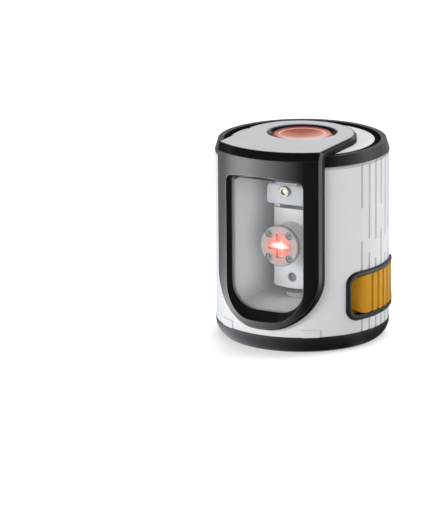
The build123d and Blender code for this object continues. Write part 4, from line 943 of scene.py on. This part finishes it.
# The tint ramp carries the beam's painted light, and the glow ramp a painted glow.
beam_lit_tint, painted_cap_glow = (
    add(tree, "ShaderNodeValToRGB", stops=stops, links=[cap_share])
    for stops in (
        [(0.0, "#E89888"), (0.45, "#A86A60"), (0.70, "#91807B"), (1.0, "#8F8480")],
        [(0.0, "#FF6A58"), (0.35, "#E83A30"), (0.65, "#6A1814"), (1.0, "#140606")],
    )
)
frost = add(
    tree, "ShaderNodeTexNoise", values={"Scale": 1 / FROST_WIDTH},
    links=[add(tree, "ShaderNodeTexCoord").outputs["Object"]],
)
cap_gloss = add(tree, "ShaderNodeMapRange", values={"To Min": 0.25, "To Max": 0.45}, links=[frost])
cap_edges = add(tree, "ShaderNodeBevel", values={"Radius": SOFT_EDGE})
cap_skin = add(
    tree, "ShaderNodeBsdfPrincipled", values={"IOR": 1.5, "Emission Strength": 0.45},
    links={"Base Color": beam_lit_tint, "Emission Color": painted_cap_glow, "Roughness": cap_gloss, "Normal": cap_edges},
)
paint(frosted_cap, cap_skin, "optic_cap")

# %% [markdown]
# ## Lit rod lenses
# Two crossed glass rods spread the beam into lines, and both glow, white in the middle and red towards
# their ends. Seen only through the cap's slots, they shine by themselves instead of passing light on, and
# the barrel's mouth behind them glows red.

# %% Rod lenses
LENS_REACH = 4.5 * MM

lit_lens, tree = new_material("lit_red_glass")
lens_share = add(
    tree, "ShaderNodeMath", operation="DIVIDE", values={1: LENS_REACH},
    links=[distance_from(tree, cap_middle, ROUND_Y)],
)
lens_glow = add(
    tree, "ShaderNodeValToRGB", stops=[(0.0, "#FFF4F0"), (0.35, "#FFB4A8"), (1.0, "#D8463C")],
    links=[lens_share],
)
lens_skin = add(
    tree, "ShaderNodeBsdfPrincipled", values={"Roughness": 0.06, "IOR": 1.52, "Emission Strength": 0.9},
    links={"Base Color": lens_glow, "Emission Color": lens_glow},
)
paint(lit_lens, lens_skin, "line_lens_horizontal", "line_lens_vertical", "collimator_lens", "status_led")

# %% Glow in the barrel's mouth
MOUTH_DARK = 5.5 * MM
MOUTH_LIT = 3.0 * MM
MOUTH_GLOW = 0.8

tree, barrel_skin = skin_of(barrel_lacquer)
in_mouth = add(
    tree, "ShaderNodeMapRange", values={"From Min": MOUTH_DARK, "From Max": MOUTH_LIT},
    links=[distance_from(tree, cap_middle, ROUND_Y)],
)
mouth_tone = add(
    tree, "ShaderNodeMix", data_type="RGBA", values={MIX_FROM: "#000000", MIX_TO: "#F0402F"},
    links=[in_mouth],
)
tree.links.new(mouth_tone.outputs[MIX_RESULT], barrel_skin.inputs["Emission Color"])
barrel_skin.inputs["Emission Strength"].default_value = MOUTH_GLOW
print("the mouth glows to", round(MOUTH_DARK / MM, 1), "mm from its axis")

# %% [markdown]
# ## Cell sleeves
# The two cells wear printed sleeves: a dark body, a bright band at one end and bare steel at the ends.
# Separate rings would add nothing, and the pattern follows the height, so one ramp draws it.

# %% Cell sleeves
BARE_STEEL = "#B9BABC"
SLEEVE_DARK = "#2E3136"
SLEEVE_BAND = "#B7773C"

cell_low, cell_high = corners_of("battery_cells")
sleeve, tree = new_material("printed_cell_sleeve")
cell_share = add(
    tree, "ShaderNodeMapRange", values={"From Min": cell_low.z, "From Max": cell_high.z},
    links=[place_in(tree)["Z"]],
)
sleeve_print = add(
    tree, "ShaderNodeValToRGB", links=[cell_share],
    stops=[
        (0.0, BARE_STEEL), (0.03, SLEEVE_DARK), (0.70, SLEEVE_DARK), (0.705, SLEEVE_BAND),
        (0.96, SLEEVE_BAND), (0.965, BARE_STEEL), (1.0, BARE_STEEL),
    ],
)
sleeve_skin = add(
    tree, "ShaderNodeBsdfPrincipled", values={"Roughness": 0.28, "Metallic": 0.35},
    links={"Base Color": sleeve_print},
)
paint(sleeve, sleeve_skin, "battery_cells")

# %% [markdown]
# ## Cross-recess screws
# Small cross-recess screws, which CAD has as plain ones, hold the base and the optic cap. Their threads
# sit in plastic and never show, so a tree makes only a head and a shank. Modelling each by hand would
# repeat the same steps, so the sizes are named inputs and one tree serves them all.

# %% Screw head and shank
HEAD_SIDES = 48
SHANK_SIDES = 32


def raised(tree, part, height):
    """A part of a tree, moved along Z by a height."""
    lift = add(tree, "ShaderNodeCombineXYZ", links={"Z": height})
    return add(tree, "GeometryNodeTransform", links={"Geometry": part, "Translation": lift})


screw, given, screw_sockets = new_tree("cross_recess_screw", {
    "Points": "Geometry", "Head radius": "Float", "Head height": "Float", "Shank radius": "Float",
    "Shank length": "Float", "Recess width": "Float", "Recess depth": "Float", "Facing": "Vector",
    "Finish": "Material",
})
head, shank = (
    add(
        screw, "GeometryNodeMeshCylinder", values={"Vertices": sides},
        links={"Radius": given[radius], "Depth": given[length]},
    )
    for sides, radius, length in (
        (HEAD_SIDES, "Head radius", "Head height"), (SHANK_SIDES, "Shank radius", "Shank length")
    )
)
head_down, shank_half = (
    add(screw, "ShaderNodeMath", operation="MULTIPLY", values={1: -0.5}, links=[given[length]])
    for length in ("Head height", "Shank length")
)
shank_down = add(screw, "ShaderNodeMath", operation="SUBTRACT", links=[shank_half, given["Head height"]])
placed_head = raised(screw, head, head_down)
placed_shank = raised(screw, shank, shank_down)
print("screw tree with", len(screw_sockets), "inputs")

# %% [markdown]
# Two crossed bars are cut out of the head. The screw is then copied to its places, and the copies are
# made real and get their finish, which is how the threaded insert below ends too.

# %% Recess and copies
RECESS_SPAN = 1.15


def copy_to_points(tree, given, parts, **turn):
    """Ends a tree: its parts are joined, copied to the points, made real and given their finish."""
    whole = add(tree, "GeometryNodeJoinGeometry", links=[parts])
    copies = add(
        tree, "GeometryNodeInstanceOnPoints", links={"Points": given["Points"], "Instance": whole, **turn}
    )
    real = add(tree, "GeometryNodeRealizeInstances", links=[copies])
    finished = add(tree, "GeometryNodeSetMaterial", links={"Geometry": real, "Material": given["Finish"]})
    add(tree, "NodeGroupOutput", links=[finished])


# A bar's middle lies on the head's face, so only half of its depth cuts.
bar_long, bar_deep = (
    add(screw, "ShaderNodeMath", operation="MULTIPLY", values={1: times}, links=[given[size]])
    for size, times in (("Head radius", RECESS_SPAN), ("Recess depth", 2.0))
)
bars = []
for across, along in (("X", "Y"), ("Y", "X")):
    bar_size = add(
        screw, "ShaderNodeCombineXYZ", links={across: bar_long, along: given["Recess width"], "Z": bar_deep}
    )
    bars.append(add(screw, "GeometryNodeMeshCube", links=[bar_size]))
recessed = add(screw, "GeometryNodeMeshBoolean", operation="DIFFERENCE", links=[placed_head, bars])
outward = add(screw, "FunctionNodeAlignRotationToVector", axis="Z", links={"Vector": given["Facing"]})
copy_to_points(screw, given, [recessed, placed_shank], Rotation=outward)
print("screw tree with", len(screw.nodes), "nodes")

# %% [markdown]
# Each new screw sits where a plain one does. A node can hold several, so its mesh is taken apart into
# islands of joined corners.


# %% Where the plain screws sit
def solids_of(name):
    """The lowest and highest corner of each separate solid in a node."""
    shape = bmesh.new()
    shape.from_mesh(nodes[name].data)
    bmesh.ops.remove_doubles(shape, verts=shape.verts, dist=WELD_REACH)
    waiting = set(shape.verts)
    boxes = []
    while waiting:
        island = [waiting.pop()]
        # The list grows while the loop walks along it.
        for corner in island:
            found = {edge.other_vert(corner) for edge in corner.link_edges} & waiting
            waiting -= found
            island.extend(found)
        boxes.append([Vector(pick(v.co[i] for v in island) for i in range(3)) for pick in (min, max)])
    shape.free()
    return boxes


for name in ("base_screws", "cap_screws"):
    print(name, "holds", len(solids_of(name)), "screws")

# %% [markdown]
# The tree's result becomes a plain mesh that rides on a body and stands for the solid that it details.


# %% Base and cap screws
def piece_from(name, tree, sockets, points, values):
    """A plain mesh that a tree makes from points, as an object at the origin."""
    seed = bpy.data.meshes.new(name + "_points")
    seed.from_pydata(points, [], [])
    piece = bpy.data.objects.new(name, seed)
    scene.collection.objects.link(piece)
    put_tree(piece, tree, sockets, values)
    depsgraph = bpy.context.evaluated_depsgraph_get()
    made = bpy.data.meshes.new_from_object(piece.evaluated_get(depsgraph), depsgraph=depsgraph)
    piece.modifiers.clear()
    piece.data = made
    bpy.data.meshes.remove(seed)
    print(name, len(made.polygons), "faces")
    return piece


def put_screws(node, body, facing, sizes_mm, finish):
    """Cross-recess screws in place of a node's plain ones, with their heads towards facing."""
    facing = Vector(facing)
    spots = []
    for low, high in solids_of(node):
        half_length = abs((high - low).dot(facing)) / 2
        spots.append((low + high) / 2 + facing * half_length)
    sizes = {label: size * MM for label, size in sizes_mm.items()}
    sizes["Shank length"] = 2 * half_length - sizes["Head height"]
    screws = piece_from(
        node + "_recessed", screw, screw_sockets, spots, {**sizes, "Facing": facing, "Finish": finish}
    )
    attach(screws, body)
    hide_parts(node)


put_screws("base_screws", "housing", (0, 0, -1), {
    "Head radius": 2.2, "Head height": 1.3, "Shank radius": 1.2, "Recess width": 0.75, "Recess depth": 0.9,
}, steel)
put_screws("cap_screws", "pendulum", (0, -1, 0), {
    "Head radius": 1.4, "Head height": 0.6, "Shank radius": 0.8, "Recess width": 0.4, "Recess depth": 0.4,
}, dark_screw)

# %% [markdown]
# ## Tripod thread
# The brass insert takes a 1/4 inch photo screw with 20 threads to the inch. Bump could only hint at so
# deep a thread, so a three-sided ridge winds up a spiral, from the wide bore down to the narrow radius
# that the plain solid has.

# %% Insert tube
BORE_SIDES = 96
BORE_OVERSHOOT = 1.5

thread, given, thread_sockets = new_tree("threaded_insert", {
    "Points": "Geometry", "Outer radius": "Float", "Wide bore": "Float", "Narrow bore": "Float",
    "Pitch": "Float", "Length": "Float", "Finish": "Material",
})
longer = add(
    thread, "ShaderNodeMath", operation="MULTIPLY", values={1: BORE_OVERSHOOT}, links=[given["Length"]]
)
outside, inside = (
    add(
        thread, "GeometryNodeMeshCylinder", values={"Vertices": BORE_SIDES},
        links={"Radius": given[radius], "Depth": length},
    )
    for radius, length in (("Outer radius", given["Length"]), ("Wide bore", longer))
)
tube = add(thread, "GeometryNodeMeshBoolean", operation="DIFFERENCE", links=[outside, inside])
print("insert tree with", len(thread_sockets), "inputs")

# %% Insert thread
SPIRAL_STEPS = 48
RIDGE_SIDES = 3
# A three-sided ridge reaches one radius inwards from its middle line and half a radius outwards, so it
# bites a little into the wide bore.
RIDGE_REACH = 1.45

climb = add(thread, "ShaderNodeMath", operation="SUBTRACT", links=[given["Length"], given["Pitch"]])
turns = add(thread, "ShaderNodeMath", operation="DIVIDE", links=[climb, given["Pitch"]])
thread_depth = add(
    thread, "ShaderNodeMath", operation="SUBTRACT", links=[given["Wide bore"], given["Narrow bore"]]
)
ridge_size = add(
    thread, "ShaderNodeMath", operation="DIVIDE", values={1: RIDGE_REACH}, links=[thread_depth]
)
middle_line = add(thread, "ShaderNodeMath", operation="ADD", links=[given["Narrow bore"], ridge_size])
spiral = add(
    thread, "GeometryNodeCurveSpiral", values={"Resolution": SPIRAL_STEPS},
    links={"Rotations": turns, "Start Radius": middle_line, "End Radius": middle_line, "Height": climb},
)
level_spiral = add(thread, "GeometryNodeSetCurveNormal", mode="Z_UP", links=[spiral])
ridge_outline = add(
    thread, "GeometryNodeCurvePrimitiveCircle", values={"Resolution": RIDGE_SIDES},
    links={"Radius": ridge_size},
)
ridge = add(
    thread, "GeometryNodeCurveToMesh", values={"Fill Caps": True},
    links={"Curve": level_spiral, "Profile Curve": ridge_outline},
)
half_climb = add(thread, "ShaderNodeMath", operation="MULTIPLY", values={1: -0.5}, links=[climb])
copy_to_points(thread, given, [tube, raised(thread, ridge, half_climb)])
print("insert tree with", len(thread.nodes), "nodes")

# %% Insert in the base
THREAD_OUTER = 3.175 * MM
THREAD_CORE = 2.55 * MM
THREAD_PITCH = 1.27 * MM

insert_low, insert_high = corners_of("tripod_insert")
insert = piece_from("tripod_insert_threaded", thread, thread_sockets, [middle_of("tripod_insert")], {
    "Outer radius": (insert_high.x - insert_low.x) / 2, "Length": insert_high.z - insert_low.z,
    "Wide bore": THREAD_OUTER, "Narrow bore": THREAD_CORE, "Pitch": THREAD_PITCH, "Finish": brass,
})
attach(insert, "housing")
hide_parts("tripod_insert")
near_axis = min(math.hypot(v.co.x, v.co.y) for v in insert.data.vertices)
print("the thread comes to", round(near_axis / MM, 2), "mm from its axis")
